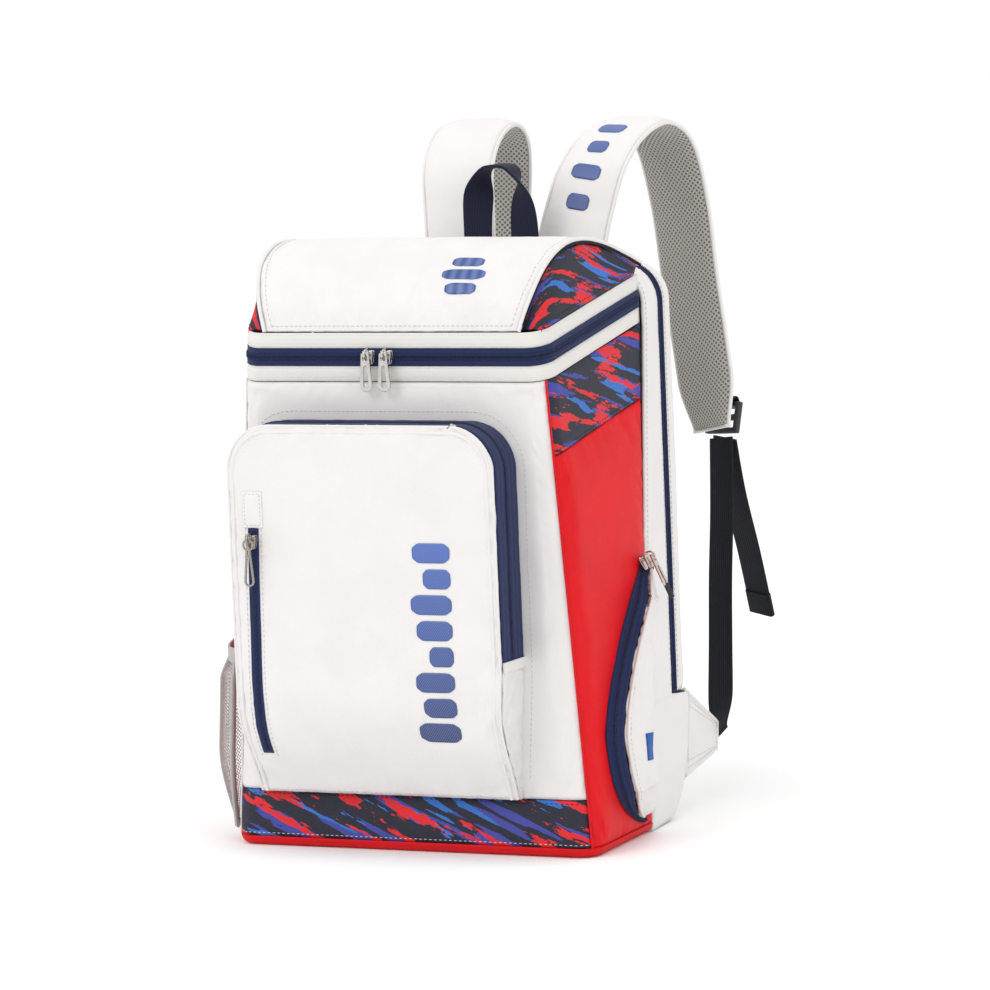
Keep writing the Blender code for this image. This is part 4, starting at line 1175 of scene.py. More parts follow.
def build_front_pocket():
    low = BAND_HIGH_Z + GAP

    def face(u, v):
        z = lerp(low, POCKET_TOP_Z, 1 - (1 - v) ** 1.6)
        left, right = pocket_sides(z)
        return on_pocket(lerp(left, right, u), z)

    def crown(u, v):
        return 0.0026 * math.sin(math.pi * u) ** 0.8 * math.sin(math.pi * min(1, v * 1.02)) ** 0.8

    cover = panel("front_pocket_cover", face, 120, 130, "white", "pack", ("front_pocket_panel",),
                  thick=0.0024, height=crown, seed=23.0, tuck=0.0008, ripple=0.0009,
                  sim=(7, 0.005, 0.0016))
    inside = [(x, z) for x, z in (pocket_path(t / 150, low + 0.001, low + 0.001, 0.0052)
                                  for t in range(151))]
    bead("front_pocket_piping", [on_pocket(x, z, 0.0001) for x, z in inside], 0.0016, "white", "pack")
    trim = [(x, z) for x, z in (pocket_path(t / 150, low + 0.001, low + 0.001, 0.0008)
                                for t in range(151))]
    bead("front_pocket_edge", [on_pocket(x, z, -0.0008) for x, z in trim], 0.0012, "white", "pack")
    foot = [on_pocket(lerp(POCKET_LEFT + 0.004, POCKET_RIGHT - 0.010, t / 80), low + 0.0022)
            for t in range(81)]
    stitches("front_pocket_stitches", cover, [foot], "white_thread", "pack")

    def wall(name, path, columns, node, finish, height=None, seed=2.0, sim=None):
        def point(u, v):
            x, z = path(u)
            behind = FRONT_Y - pocket_depth(z) + 1.4 * FABRIC + 2 * GAP
            return Vector((x, lerp(FRONT_Y - 2 * GAP, behind, v), z))

        return panel(name, point, columns, 26, finish, "pack", (node,) if node else (), thick=0.0018,
                     centre=(0, -0.12, 0.2), tuck=0.0004, height=height, seed=seed, back=None, sim=sim)

    def zip_ridges(u, v):
        return 0.0005 * abs(math.sin(v * math.pi * 6)) - 0.0003

    zip_path = lambda u: pocket_path(u, POCKET_ZIP_LEFT_Z, POCKET_ZIP_RIGHT_Z)
    strip = wall("front_pocket_zip_cover", zip_path, 170, "front_pocket_zip", "navy", zip_ridges)
    middle = []
    for k in range(201):
        x, z = zip_path(k / 200)
        middle.append(Vector((x, FRONT_Y - pocket_depth(z) * 0.50, z)))
    teeth("front_pocket_coil", middle, lambda p: Vector((p.x, 0, max(0.0, p.z - 0.29) * 4)),
          "navy_dark", "pack", wide=0.0040)
    for side, index, top in (("left", 0, POCKET_ZIP_LEFT_Z), ("right", 1, POCKET_ZIP_RIGHT_Z)):
        def path(u, index=index, top=top):
            z = lerp(low, top - 2 * GAP, u)
            return pocket_sides(z)[index], z

        wall("front_pocket_side_" + side, path, 70, "front_pocket_gusset_" + side, "white",
             seed=27.0 + index, sim=(5, 0.01, 0.0030))
    for name, index, top in (("left", 0, POCKET_ZIP_LEFT_Z), ("right", 1, POCKET_ZIP_RIGHT_Z)):
        x = pocket_sides(top)[index]
        sign = -1 if index == 0 else 1
        depth = pocket_depth(top)
        y0, y1 = FRONT_Y - 0.0015, FRONT_Y - depth + 0.004
        route = lambda t, x=x, sign=sign, y0=y0, y1=y1, top=top: Vector(
            (x + sign * 0.0007, lerp(y0, y1, t), top + 0.0008))
        sweep("front_pocket_zip_end_" + name, route, lambda t: Z, lambda t: flat_section(0.008, 0.0014),
              14, "white", "pack")


def build_slot_zip():
    cover = bpy.data.objects["front_pocket_cover"]
    tree = surface_of(cover)

    def on_face(x, z, proud):
        """Point over the pocket's finished face."""
        return tree.ray_cast(Vector((x, -0.3, z)), Y)[0] - Y * proud

    def strip(u, v):
        x, z = (lerp(a, b, v) for a, b in zip(SLOT_LOW, SLOT_HIGH))
        return on_face(x + lerp(-0.0045, 0.0045, u), z, 0.0010)

    panel("slot_zip_cover", strip, 16, 90, "navy", "pack", ("slot_zip",), thick=0.0012, tuck=0.0003,
          ripple=0.0002, back=None)
    route = stretch_of(lambda t: strip(0.5, lerp(0.01, 0.99, t)), 100)
    teeth("slot_coil", route, lambda p: -Y, "navy_dark", "pack", wide=0.0036)

    def garage(u, v):
        return on_face(SLOT_HIGH[0] + lerp(-0.0085, 0.0085, u), lerp(0.2535, 0.2815, v), 0.0016)

    tab = panel("slot_zip_tab", garage, 24, 34, "white", "pack", thick=0.0016, tuck=0.0009,
                ripple=0.0003, back=None)
    inset = (0.10, 0.07)
    corners = [(inset[0], inset[1]), (1 - inset[0], inset[1]), (1 - inset[0], 1 - inset[1]),
               (inset[0], 1 - inset[1]), (inset[0], inset[1])]
    outline_rows = [[garage(lerp(a[0], b[0], t / 12), lerp(a[1], b[1], t / 12)) for t in range(13)]
                    for a, b in zip(corners, corners[1:])]
    stitches("slot_tab_stitches", tab, outline_rows, "white_thread", "pack", pitch=0.0030,
             length=0.0021, radius=0.00026)
    edges = []
    for side in (-1, 1):
        edges.append([on_face(lerp(SLOT_LOW[0], SLOT_HIGH[0], t / 60) + side * 0.0070,
                              lerp(SLOT_LOW[1] - 0.003, SLOT_HIGH[1], t / 60), 0)
                      for t in range(61)])
    stitches("slot_zip_stitches", cover, edges, "white_thread", "pack")


# ---------------------------------------------------------------- side pockets

def build_side_pocket():
    low, high = 0.0130, 0.2130

    def zip_strip(u, v):
        z = lerp(low, high, 0.5 - 0.5 * math.cos(math.pi * v))
        rise = 0.9 * side_bulge(0, (z - low) / (high - low))
        return on_side(1, side_pocket_front(z) + 0.009 * u, z, 0.0026 + u * rise)

    def ridges(u, v):
        return 0.0006 * abs(math.sin(u * math.pi * 4)) - 0.0002

    panel("side_pocket_zip_cover", zip_strip, 20, 120, "navy", "pack", ("side_pocket_zip",),
          thick=0.0016, centre=(0, 0.03, 0.1), tuck=0, ripple=0.0002, height=ridges, back=None)
    teeth("side_pocket_coil", stretch_of(lambda t: zip_strip(0.5, lerp(0.02, 0.98, t)), 140),
          lambda p: Vector((1, -0.5, 0)), "navy_dark", "pack", wide=0.0030)

    def flap(u, v):
        z = lerp(low + 0.004, high - 0.008, v)
        front, rear = side_pocket_front(z) + 0.0106, side_seam_y(z) - 0.001
        share = (z - low) / (high - low)
        return on_side(1, lerp(front, rear, u), z, 0.0042 + side_bulge(u, share))

    cover = panel("side_pocket_cover", flap, 70, 110, "white", "side_flap", ("side_pocket_panel",),
                  thick=0.0022, centre=(0, 0.03, 0.1), seed=31.0, ripple=0.0012,
                  sim=(7, 0.010, 0.0040))
    front_edge = stretch_of(lambda t: flap(0.0, lerp(0.01, 0.99, t)), 90)
    bead("side_pocket_piping", front_edge, 0.0014, "white", "side_flap")
    rows = [stretch_of(lambda t: flap(0.055, lerp(0.03, 0.97, t)), 80)]
    stitches("side_pocket_stitches", cover, rows, "white_thread", "side_flap")
    tree = surface_of(cover)

    def tag(u, v):
        y, z = lerp(-0.025, -0.009, u) - 0.0012 * v, lerp(0.064, 0.085, v) - 0.0015 * u
        hit = tree.ray_cast(Vector((0.25, y, z)), Vector((-1, 0, 0)))[0]
        return (hit or on_side(1, y, z, 0.006)) + Vector((0.0008, 0, 0))

    panel("side_pocket_label", tag, 14, 8, "label", "side_flap", thick=0.0006, centre=(0, 0.03, 0.1),
          tuck=0, ripple=0, back=None)


def build_mesh_pocket():
    front, rear, low, high = -0.090, 0.018, 0.013, 0.168

    def net(u, v):
        """Fullest towards the front and over most of its height, drawn in at the hem."""
        u, v = min(1.0, max(0.0, u)), min(1.0, max(0.0, v))
        z = lerp(low, high - 0.020 * (1 - u), v)
        fullness = (0.12 + 0.88 * math.sin(min(1.0, v / 0.45) * math.pi / 2)) * (
            1 - 0.35 * smooth((v - 0.82) / 0.18))
        across = max(0.0, math.sin(math.pi * u ** 0.6)) ** 0.7
        y = lerp(front, rear + 0.01 * v, u)
        return on_side(-1, y, z, 0.0024 + 0.028 * across * fullness)

    bm = bmesh.new()
    columns, rows = 66, 96
    verts = {}

    def vert(i, j):
        if (i, j) not in verts:
            verts[i, j] = bm.verts.new(net(i / columns, j / rows))
        return verts[i, j]

    for j in range(rows - 1):
        for i in range(j % 2, columns - 1, 2):
            bm.faces.new((vert(i + 1, j), vert(i + 2, j + 1) if i + 2 <= columns else vert(columns, j + 1),
                          vert(i + 1, j + 2), vert(i, j + 1)))
    mesh = bpy.data.meshes.new("mesh_pocket_net")
    bm.to_mesh(mesh)
    bm.free()
    obj = new_object("mesh_pocket_net", mesh)
    wire = obj.modifiers.new("threads", "WIREFRAME")
    wire.thickness = 0.0008
    wire.use_even_offset = False
    applied(obj)
    place_piece(obj, "net", "pack", ("mesh_pocket",))

    def binding(name, at, wide, normal):
        sweep(name, at, normal, lambda t: flat_section(wide, 0.0020), 60, "net", "pack")

    binding("mesh_pocket_hem", lambda t: net(lerp(0.005, 0.995, t), 0.985), 0.012, lambda t: Z)
    binding("mesh_pocket_front_seam", lambda t: net(0.004, t), 0.007, lambda t: Y)
    binding("mesh_pocket_rear_seam", lambda t: net(0.996, t), 0.007, lambda t: Y)
    binding("mesh_pocket_foot_seam", lambda t: net(t, 0.01), 0.006, lambda t: Z)


def build_left_zip():
    def strip(u, v):
        y, z = (lerp(a, b, u) for a, b in zip(LEFT_ZIP_LOW, LEFT_ZIP_HIGH))
        return on_side(-1, y + lerp(0.003, -0.003, v), z + lerp(-0.004, 0.004, v), 0.0024)

    panel("left_pocket_zip_cover", strip, 90, 14, "navy", "pack", ("left_pocket_zip",), thick=0.0014,
          centre=(0, -0.03, 0.1), tuck=0.0003, ripple=0.0002, back=None)
    teeth("left_pocket_coil", stretch_of(lambda t: strip(lerp(0.01, 0.99, t), 0.5), 100),
          lambda p: Vector((-1, 0, 0)), "navy_dark", "pack", wide=0.0034)
    rows = [stretch_of(lambda t, v=v: strip(lerp(0, 1, t), v), 60) for v in (-0.35, 1.35)]
    stitches("left_zip_stitches", bpy.data.objects["side_cover_left"], rows, "red_thread", "pack")


# ---------------------------------------------------------------- straps, webbing and handle

def strap_pose(t, sign):
    route = mirrored(STRAP_ROUTE, sign)
    p = spline(route, t)
    ahead = (spline(route, min(1, t + 0.004)) - spline(route, max(0, t - 0.004))).normalized()
    side = turned(STRAP_TURN * smooth(t), sign)
    side = (side - ahead * side.dot(ahead)).normalized()
    return p, side, side.cross(ahead), ahead


def strap_width(t):
    return STRAP_WIDTH * (1 - 0.35 * smooth((t - 0.93) / 0.07))


def build_strap(side, sign):
    body, bend = "strap_" + side, dict(start=(sign * 0.047, 0.12, 0.414), end=(sign * 0.051, 0.131, 0.458))
    middle = spline(mirrored(STRAP_ROUTE, sign), 0.5)
    inner_point = Vector((sign * 0.08, 0.19, 0.40))

    def faces_in(t):
        p, _, normal, _ = strap_pose(t, sign)
        return 1 if normal.dot(inner_point - p) > 0 else -1

    def layer(name, finish, deep, inset, towards, replaces, crown, thick, seed):
        """One face of the strap: a padded sheet that curves down to the binding at its edges."""
        def point(u, v):
            t = lerp(0.004, 0.996, v)
            p, across, normal, _ = strap_pose(t, sign)
            half = strap_width(t) / 2 - inset
            a = 2 * u - 1
            bulge = deep * (1 - abs(a) ** 3.2) ** 0.55
            way = faces_in(t) * towards
            return p + across * (a * half) + normal * (way * (bulge + 0.0004))

        grid = [[point(i / 26, j / 190) for i in range(27)] for j in range(191)]
        obj = grid_object(name, grid, middle)
        # outward test against the strap's own centre line, row by row
        bm = bmesh.new()
        bm.from_mesh(obj.data)
        total = 0.0
        for face in bm.faces:
            c = face.calc_center_median()
            j = min(190, max(0, int(face.index / 26)))
            p, _, normal, _ = strap_pose(lerp(0.004, 0.996, (j + 0.5) / 191), sign)
            total += face.normal.dot(normal * (faces_in(lerp(0.004, 0.996, (j + 0.5) / 191)) * towards))
        if total < 0:
            bmesh.ops.reverse_faces(bm, faces=bm.faces)
            bm.to_mesh(obj.data)
        bm.free()
        for vertex in obj.data.vertices:
            q = vertex.co * 30 + Vector((seed, 0, 0))
            vertex.co += vertex.normal * (0.0006 * noise.noise(q) + 0.0003 * noise.noise(q * 3))
        solid = obj.modifiers.new("thickness", "SOLIDIFY")
        solid.thickness, solid.offset = thick, -1
        applied(obj)
        place_piece(obj, finish, None, replaces)
        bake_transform(obj)
        return obj

    outer = layer("strap_outer_" + side, "white", 0.0052, 0.0012, -1, ("shoulder_strap_" + side,),
                  1, 0.0030, 41.0 + sign)
    inner = layer("strap_inner_" + side, "mesh", 0.0048, 0.0012, 1, (), 1, 0.0030, 43.0 + sign)
    for edge, way in (("outside", 1), ("inside", -1)):
        def line(t, way=way):
            p, across, _, _ = strap_pose(lerp(0.002, 0.998, t), sign)
            return p + across * (way * (strap_width(t) / 2 - 0.0009))

        obj = sweep(f"strap_binding_{edge}_{side}", line,
                    lambda t: strap_pose(t, sign)[2], lambda t: flat_section(0.0034, 0.0024),
                    190, "white", None)
        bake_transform(obj)
    end_pose = strap_pose(0.998, sign)
    half = strap_width(0.998) / 2 - 0.0008

    def end_line(t):
        return end_pose[0] + end_pose[1] * lerp(-half, half, t)

    sweep("strap_end_binding_" + side, end_line, lambda t: end_pose[2],
          lambda t: flat_section(0.0060, 0.0028), 20, "white", body)
    build_webbing(side, sign)
    build_anchor(side, sign)


def build_webbing(side, sign):
    route = mirrored(WEBBING_ROUTE, sign)

    def across(t):
        return turned(STRAP_TURN, sign).lerp(Vector((0, 0.45, 0.89)), smooth((t - 0.6) / 0.4))

    def section(t):
        return flat_section(WEBBING_WIDTH, WEBBING_THICK, 0.1)

    point = [spline(route, t) for t in (0, 0.5, 1)]
    upper = sweep("webbing_upper_" + side, lambda t: spline(route, t * 0.5), lambda t: across(t * 0.5),
                  section, 60, "black", None, ("webbing_" + side,))
    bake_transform(upper)
    lower = sweep("webbing_lower_" + side, lambda t: spline(route, 0.5 + t * 0.5),
                  lambda t: across(0.5 + t * 0.5), section, 60, "black", None)
    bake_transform(lower)
    tail = mirrored(TAIL_ROUTE, sign)
    sweep("webbing_tail_cover_" + side, lambda t: spline(tail, t), lambda t: turned(STRAP_TURN, sign),
          lambda t: flat_section(WEBBING_WIDTH, WEBBING_THICK * 1.2, 0.1), 50, "black", "tail_" + side,
          ("webbing_tail_" + side,))
    sweep("webbing_tail_fold_" + side, lambda t: spline(tail, lerp(0.86, 1.0, t)),
          lambda t: turned(STRAP_TURN, sign), lambda t: flat_section(WEBBING_WIDTH, 0.0052, 0.3), 12,
          "black", "tail_" + side)
    build_buckle(side, sign)


def build_buckle(side, sign):
    """Ladder-lock: one moulded frame with two bars."""
    place = frame_at((sign * 0.1125, 0.2672, 0.2955), Vector((sign * -0.30, -0.90, 0.30)), (0, 0.2, 1))
    xs = (-0.0170, -0.0122, 0.0122, 0.0170)
    zs = (-0.0130, -0.0084, -0.0025, 0.0025, 0.0084, 0.0130)
    bm = bmesh.new()
    layer = bm.loops.layers.uv.new("UVMap")
    verts = [[bm.verts.new((x, 0.0026, z)) for x in xs] for z in zs]
    faces = []
    for j in range(5):
        for i in range(3):
            if i == 1 and j in (1, 3):
                continue
            faces.append(bm.faces.new((verts[j][i], verts[j][i + 1], verts[j + 1][i + 1], verts[j + 1][i])))
    made = bmesh.ops.extrude_face_region(bm, geom=faces)
    bmesh.ops.translate(bm, verts=[g for g in made["geom"] if isinstance(g, bmesh.types.BMVert)],
                        vec=(0, -0.0052, 0))
    bmesh.ops.recalc_face_normals(bm, faces=bm.faces)
    for face in bm.faces:
        for loop in face.loops:
            loop[layer].uv = (loop.vert.co.x + loop.vert.co.y, loop.vert.co.z)
    mesh = bpy.data.meshes.new("buckle_frame_" + side)
    bm.to_mesh(mesh)
    bm.free()
    obj = new_object("buckle_frame_" + side, mesh)
    rounding = obj.modifiers.new("edges", "BEVEL")
    rounding.width, rounding.segments = 0.0013, 3
    rounding.limit_method = "ANGLE"
    applied(obj)
    obj.data.transform(place)
    obj.data.shade_smooth()
    obj.data.set_sharp_from_angle(angle=math.radians(50))
    place_piece(obj, "plastic", "strap_" + side, ("buckle_" + side,))

    def loop_route(t):
        """Short webbing that holds the buckle to the strap's end."""
        angle = lerp(-0.2, math.pi * 1.15, t)
        local = Vector((0, -0.0042 * math.cos(angle), 0.0110 + 0.0060 * math.sin(angle)))
        return place @ local

    sweep("buckle_loop_" + side, loop_route, lambda t: place.to_3x3() @ X,
          lambda t: flat_section(0.0225, 0.0014), 24, "black", "strap_" + side)


def build_anchor(side, sign):
    lower = [Vector(p) for p in mirrored(((0.1372, 0.1130, 0.0290), (0.1395, 0.1700, 0.0415)), sign)]
    upper = [Vector(p) for p in mirrored(((0.1372, 0.1172, 0.0965), (0.1395, 0.1735, 0.0620)), sign)]

    def plate(u, v):
        return lower[0].lerp(lower[1], u).lerp(upper[0].lerp(upper[1], u), v)

    obj = panel("anchor_cover_" + side, plate, 40, 36, "white", "pack", ("strap_anchor_" + side,),
                thick=0.0040, centre=(0, 0.14, 0.06), tuck=0.0012, ripple=0.0006, seed=47.0, back=None)
    rows = [stretch_of(lambda t, v=v: plate(lerp(0.03, 0.97, t), v), 30) for v in (0.08, 0.16, 0.84, 0.92)]
    rows += [stretch_of(lambda t, u=u: plate(u, lerp(0.16, 0.84, t)), 30) for u in (0.05, 0.93)]
    stitches("anchor_stitches_" + side, obj, rows, "white_thread", "pack", pitch=0.0034)
    rim = [plate(u, v) for u, v in [(t / 20, 0) for t in range(21)] + [(1, t / 12) for t in range(1, 13)]
           + [(1 - t / 20, 1) for t in range(1, 21)]]
    middle = Vector((sign * -0.0020, 0, 0))
    bead("anchor_binding_" + side, [p + middle for p in rim], 0.0021, "white", "pack")


def build_handle():
    half, low, high = 0.0205, REAR_TOP_Z + 0.001, 0.5115

    def route(t):
        angle = math.pi * t
        return Vector((-half * math.copysign(abs(math.cos(angle)) ** 0.55, math.cos(angle)), 0.1015,
                       low + (high - low) * math.sin(angle) ** 0.62))

    def across(t):
        return Vector((math.copysign(1, 0.5 - t), 0, 0)).lerp(Y, smooth(min(t, 1 - t) / 0.42))

    sweep("handle_webbing", route, across, lambda t: flat_section(HANDLE_WIDTH, 0.0024, 0.1), 150,
          "handle", "handle", ("grab_handle",))


# ---------------------------------------------------------------- sliders and pulls

def merged(name, pieces, finish, body, replaces=()):
    """Joins several meshes into one piece."""
    bm = bmesh.new()
    for piece in pieces:
        bm.from_mesh(piece.data)
        bpy.data.objects.remove(piece)
    mesh = bpy.data.meshes.new(name)
    bm.to_mesh(mesh)
    bm.free()
    mesh.shade_smooth()
    mesh.set_sharp_from_angle(angle=math.radians(40))
    return place_piece(new_object(name, mesh), finish, body, replaces)


def plate_mesh(name, outline_points, near, far, bevel, place):
    """Flat plate with rounded edges: outline in local x, z, between two depths along local y."""
    bm = bmesh.new()
    layer = bm.loops.layers.uv.new("UVMap")
    face = bm.faces.new([bm.verts.new((x, near, z)) for x, z in outline_points])
    made = bmesh.ops.extrude_face_region(bm, geom=[face])
    bmesh.ops.translate(bm, verts=[g for g in made["geom"] if isinstance(g, bmesh.types.BMVert)],
                        vec=(0, far - near, 0))
    bmesh.ops.recalc_face_normals(bm, faces=bm.faces)
    for f in bm.faces:
        for loop in f.loops:
            loop[layer].uv = (loop.vert.co.x + loop.vert.co.y, loop.vert.co.z)
    mesh = bpy.data.meshes.new(name)
    bm.to_mesh(mesh)
    bm.free()
    obj = new_object(name, mesh)
    if bevel:
        rounding = obj.modifiers.new("edges", "BEVEL")
        rounding.width, rounding.segments, rounding.limit_method = bevel, 3, "ANGLE"
        applied(obj)
    obj.data.transform(place)
    return obj


def wire_mesh(name, points, radius, place, cyclic):
    curve = bpy.data.curves.new(name, "CURVE")
    curve.dimensions = "3D"
    curve.bevel_depth, curve.bevel_resolution = radius, 3
    curve.use_fill_caps = not cyclic
    run = curve.splines.new("POLY")
    run.points.add(len(points) - 1)
    for target, p in zip(run.points, points):
        target.co = (*(place @ Vector(p)), 1)
    run.use_cyclic_u = cyclic
    return applied_curve(name, curve)


SLIDER_OUTLINE = ((-0.0043, 0.0052), (-0.0016, 0.0056), (0, 0.0042), (0.0016, 0.0056), (0.0043, 0.0052),
                  (0.0044, 0.0020), (0.0036, -0.0030), (0.0026, -0.0054), (-0.0026, -0.0054),
                  (-0.0036, -0.0030), (-0.0044, 0.0020))


def pull_outline(length, neck, wide, inset=0.0, top=0.0):
    """Flat pull in x, z: narrow at the slider, widening to a rounded finger end."""
    end, low = wide / 2 - inset, -length + wide / 2
    points = [(-neck / 2 + inset, top - inset), (neck / 2 - inset, top - inset)]
    points += [(end * math.cos(a), low + end * math.sin(a))
               for a in (-math.pi * k / 14 for k in range(15))]
    return points


def slotted_plate(name, outer, inner, thick, bevel, place):
    """Plate of the outer outline with a hole of the inner one."""
    plate = plate_mesh(name, outer, -thick / 2, thick / 2, 0, place)
    cutter = plate_mesh(name + "_hole", inner, -thick, thick, 0, place)
    cut = plate.modifiers.new("slot", "BOOLEAN")
    cut.object, cut.solver = cutter, "EXACT"
    rounding = plate.modifiers.new("edges", "BEVEL")
    rounding.width, rounding.segments, rounding.limit_method = bevel, 2, "ANGLE"
    applied(plate)
    bpy.data.objects.remove(cutter)
    return plate


def build_slider(name, origin, outward, up, length=0.028, wide=0.0105, lift=0.0012, finish="nickel",
                 style="plate"):
    place = frame_at(origin, outward, up)
    top = -lift - 0.0036
    deck = plate_mesh(name + "_deck", SLIDER_OUTLINE, top, top + 0.0014, 0.0006, place)
    floor = plate_mesh(name + "_floor", [(x * 0.98, z * 0.98) for x, z in SLIDER_OUTLINE],
                       -0.0010, -0.0001, 0.0003, place)
    wedge = plate_mesh(name + "_wedge", ((-0.0009, 0.0044), (0.0009, 0.0044), (0.0007, 0.0010),
                                         (-0.0007, 0.0010)), top + 0.0012, -0.0008, 0.0002, place)
    flanges = [plate_mesh(f"{name}_flange_{k}", [(k * a, z) for a, z in
                          ((0.0044, 0.0040), (0.0036, 0.0040), (0.0022, -0.0052), (0.0031, -0.0052))],
                          top + 0.0010, top + 0.0026, 0.0003, place) for k in (-1, 1)]
    pivot_y, wire = -lift - 0.0070, 0.0011
    arch = [(0, top + 0.0006 - (abs(pivot_y) + wire + 0.0010 + top + 0.0006) * math.sin(a) ** 0.75,
             0.0025 - 0.0040 * math.cos(a)) for a in (math.pi * i / 16 for i in range(17))]
    bridge = wire_mesh(name + "_bridge", arch, 0.0008, place, False)
    merged(name + "_body", [deck, floor, wedge, *flanges, bridge], finish, name + "_slider",
           (name + "_slider",))
    pivot = place @ Matrix.Translation((0, pivot_y, 0.0025))
    ride = name + "_pull"
    if style == "drop":
        ring = [(0.0040 * math.cos(a), 0, 0.0040 * math.sin(a) - 0.0040)
                for a in (2 * math.pi * i / 28 for i in range(28))]
        lower = pivot @ Matrix.Translation((0, 0, -0.0072))
        body = slotted_plate(name + "_drop", pull_outline(length - 0.0072, 0.0036, wide, 0, 0.0012),
                             pull_outline(length - 0.0072, 0.0036, wide, 0.0015, 0.0012), 0.0016, 0.0004,
                             lower)
        merged(name + "_plate", [wire_mesh(name + "_round", ring, 0.0008, pivot, True), body], finish,
               ride, (ride,))
        return
    top_hole = [(0.0022 * math.cos(a), 0.0004 - 0.0030 + 0.0022 * math.sin(a))
                for a in (2 * math.pi * k / 16 for k in range(16))]
    slot_high, slot_low, slot_half = -0.0095, -length + wide / 2, wide * 0.19
    slim = [(slot_half * 0.7 * math.cos(a), slot_high + slot_half * 0.7 * math.sin(a))
            for a in (math.pi * k / 8 for k in range(9))]
    slim += [(slot_half * math.cos(a), slot_low + slot_half * math.sin(a))
             for a in (math.pi + math.pi * k / 8 for k in range(9))]
    plate = plate_mesh(name + "_sheet", pull_outline(length, 0.0066, wide, 0, 0.0012), -0.0008, 0.0008, 0,
                       pivot)
    cutters = [plate_mesh(f"{name}_hole_{k}", hole, -0.002, 0.002, 0, pivot)
               for k, hole in enumerate((top_hole, slim))]
    for cutter in cutters:
        cut = plate.modifiers.new("hole", "BOOLEAN")
        cut.object, cut.solver = cutter, "EXACT"
    rounding = plate.modifiers.new("edges", "BEVEL")
    rounding.width, rounding.segments, rounding.limit_method = 0.0004, 2, "ANGLE"
    applied(plate)
    for cutter in cutters:
        bpy.data.objects.remove(cutter)
    merged(name + "_plate", [plate], finish, ride, (ride,))
    if style == "tipped":
        ends = [pivot @ Vector((0, 0, z)) for z in (-length + 0.0022, -length - 0.0020, -length - 0.0100)]
        bead(name + "_grip", ends, 0.0021, "rubber", ride)


def build_sliders():
    front, up = Vector((0, -1, 0)), Z
    build_slider("lid_left", (-0.0172, FRONT_Y, ZIP_FRONT_Z), front, up)
    build_slider("lid_right", (-0.0019, FRONT_Y, ZIP_FRONT_Z), front, up)
    slot_z = 0.243
    slot_x = lerp(SLOT_LOW[0], SLOT_HIGH[0], (slot_z - SLOT_LOW[1]) / (SLOT_HIGH[1] - SLOT_LOW[1]))
    build_slider("slot", on_pocket(slot_x, slot_z, 0.0032), front, up, 0.036, 0.0085,
                 finish="gunmetal", style="drop")
    build_slider("front_pocket", (POCKET_LEFT, FRONT_Y - 0.022, 0.250), (-1, 0, 0), up, 0.026, 0.0085)
    y, z = 0.0245, 0.2085
    lean = side_normal(1, y, z) + Vector((0, 0, 0.45))
    build_slider("side_pocket", on_side(1, y, z, 0.0050), lean, Z, 0.026, 0.0080, lift=0.0030,
                 style="tipped")
    y, z = -0.0730, 0.1900
    build_slider("left_pocket", on_side(-1, y, z, 0.0022), side_normal(-1, y, z), up, 0.036, 0.0075)
    for side, sign in SIDES:
        build_slider("rear_" + side, (sign * 0.012, REAR_ZIP_Y, REAR_TOP_Z), up, (-sign, 0, 0),
                     0.028, 0.0080)


# ---------------------------------------------------------------- printed graphics

def bar(name, tree, centre, half, across, towards, body, fade, start, finish="print"):
    """Rounded bar laid on the surface that rays along towards meet; its blue fades along fade."""
    up = across.cross(towards).normalized()
    rows = []
    for j in range(9):
        line = []
        for i in range(17):
            a, b = 2 * i / 16 - 1, 2 * j / 8 - 1
            round_end = 1 - 0.16 * abs(b) ** 5
            p = centre + across * (a * half[0] * round_end) + up * (b * half[1] * (1 - 0.22 * abs(a) ** 9))
            hit, normal, _, _ = tree.ray_cast(p - towards * 0.1, towards)
            line.append(hit - towards * 0.0005)
        rows.append(line)
    obj = grid_object(name, rows, centre + towards * 0.1)
    for loop, data in zip(obj.data.loops, obj.data.uv_layers[0].data):
        co = obj.data.vertices[loop.vertex_index].co
        data.uv = (co.x, fade.dot(co) - start)
    solid = obj.modifiers.new("thickness", "SOLIDIFY")
    solid.thickness, solid.offset = 0.0004, -1
    applied(obj)
    return place_piece(obj, finish, body)


def build_print():
    """Plain rounded bars, a generic graphic where the fabric carries a print."""
    tree = surface_of(bpy.data.objects["front_pocket_cover"])
    widths = (0.034, 0.027, 0.032, 0.020, 0.030, 0.034, 0.023, 0.031)
    low, tall, step, right = 0.092, 0.0150, 0.0196, 0.066
    for k, wide in enumerate(widths):
        centre = Vector((right - wide / 2, -0.15, low + k * step + tall / 2))
        bar(f"pocket_print_{k + 1}", tree, centre, (wide / 2, tall / 2), X, Y, "pack", Z, low)
    tree = surface_of(bpy.data.objects["lid_top_cover"])
    slope = Vector((0, 0.80, -0.60))
    for k, wide in enumerate((0.026, 0.036, 0.026)):
        centre = Vector((0.056, -0.0820, 0.4405)) - slope.cross(X) * (0.0125 * (k - 1))
        bar(f"lid_print_{k + 1}", tree, centre, (wide / 2, 0.0045), X, slope, "lid", X, -0.02)
    tree = surface_of(bpy.data.objects["strap_outer_right"])
    for k, wide in enumerate((0.020, 0.026, 0.018, 0.024)):
        t = lerp(0.225, 0.400, k / 3)
        p, across, normal, _ = strap_pose(t, 1)
        inward = normal * (1 if normal.dot(Vector((0.08, 0.19, 0.40)) - p) > 0 else -1)
        piece = bar(f"strap_print_{k + 1}", tree, p, (wide / 2, 0.0065), across, inward, None, Z, 0.44)
        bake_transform(piece)


# ---------------------------------------------------------------- stage, light and camera

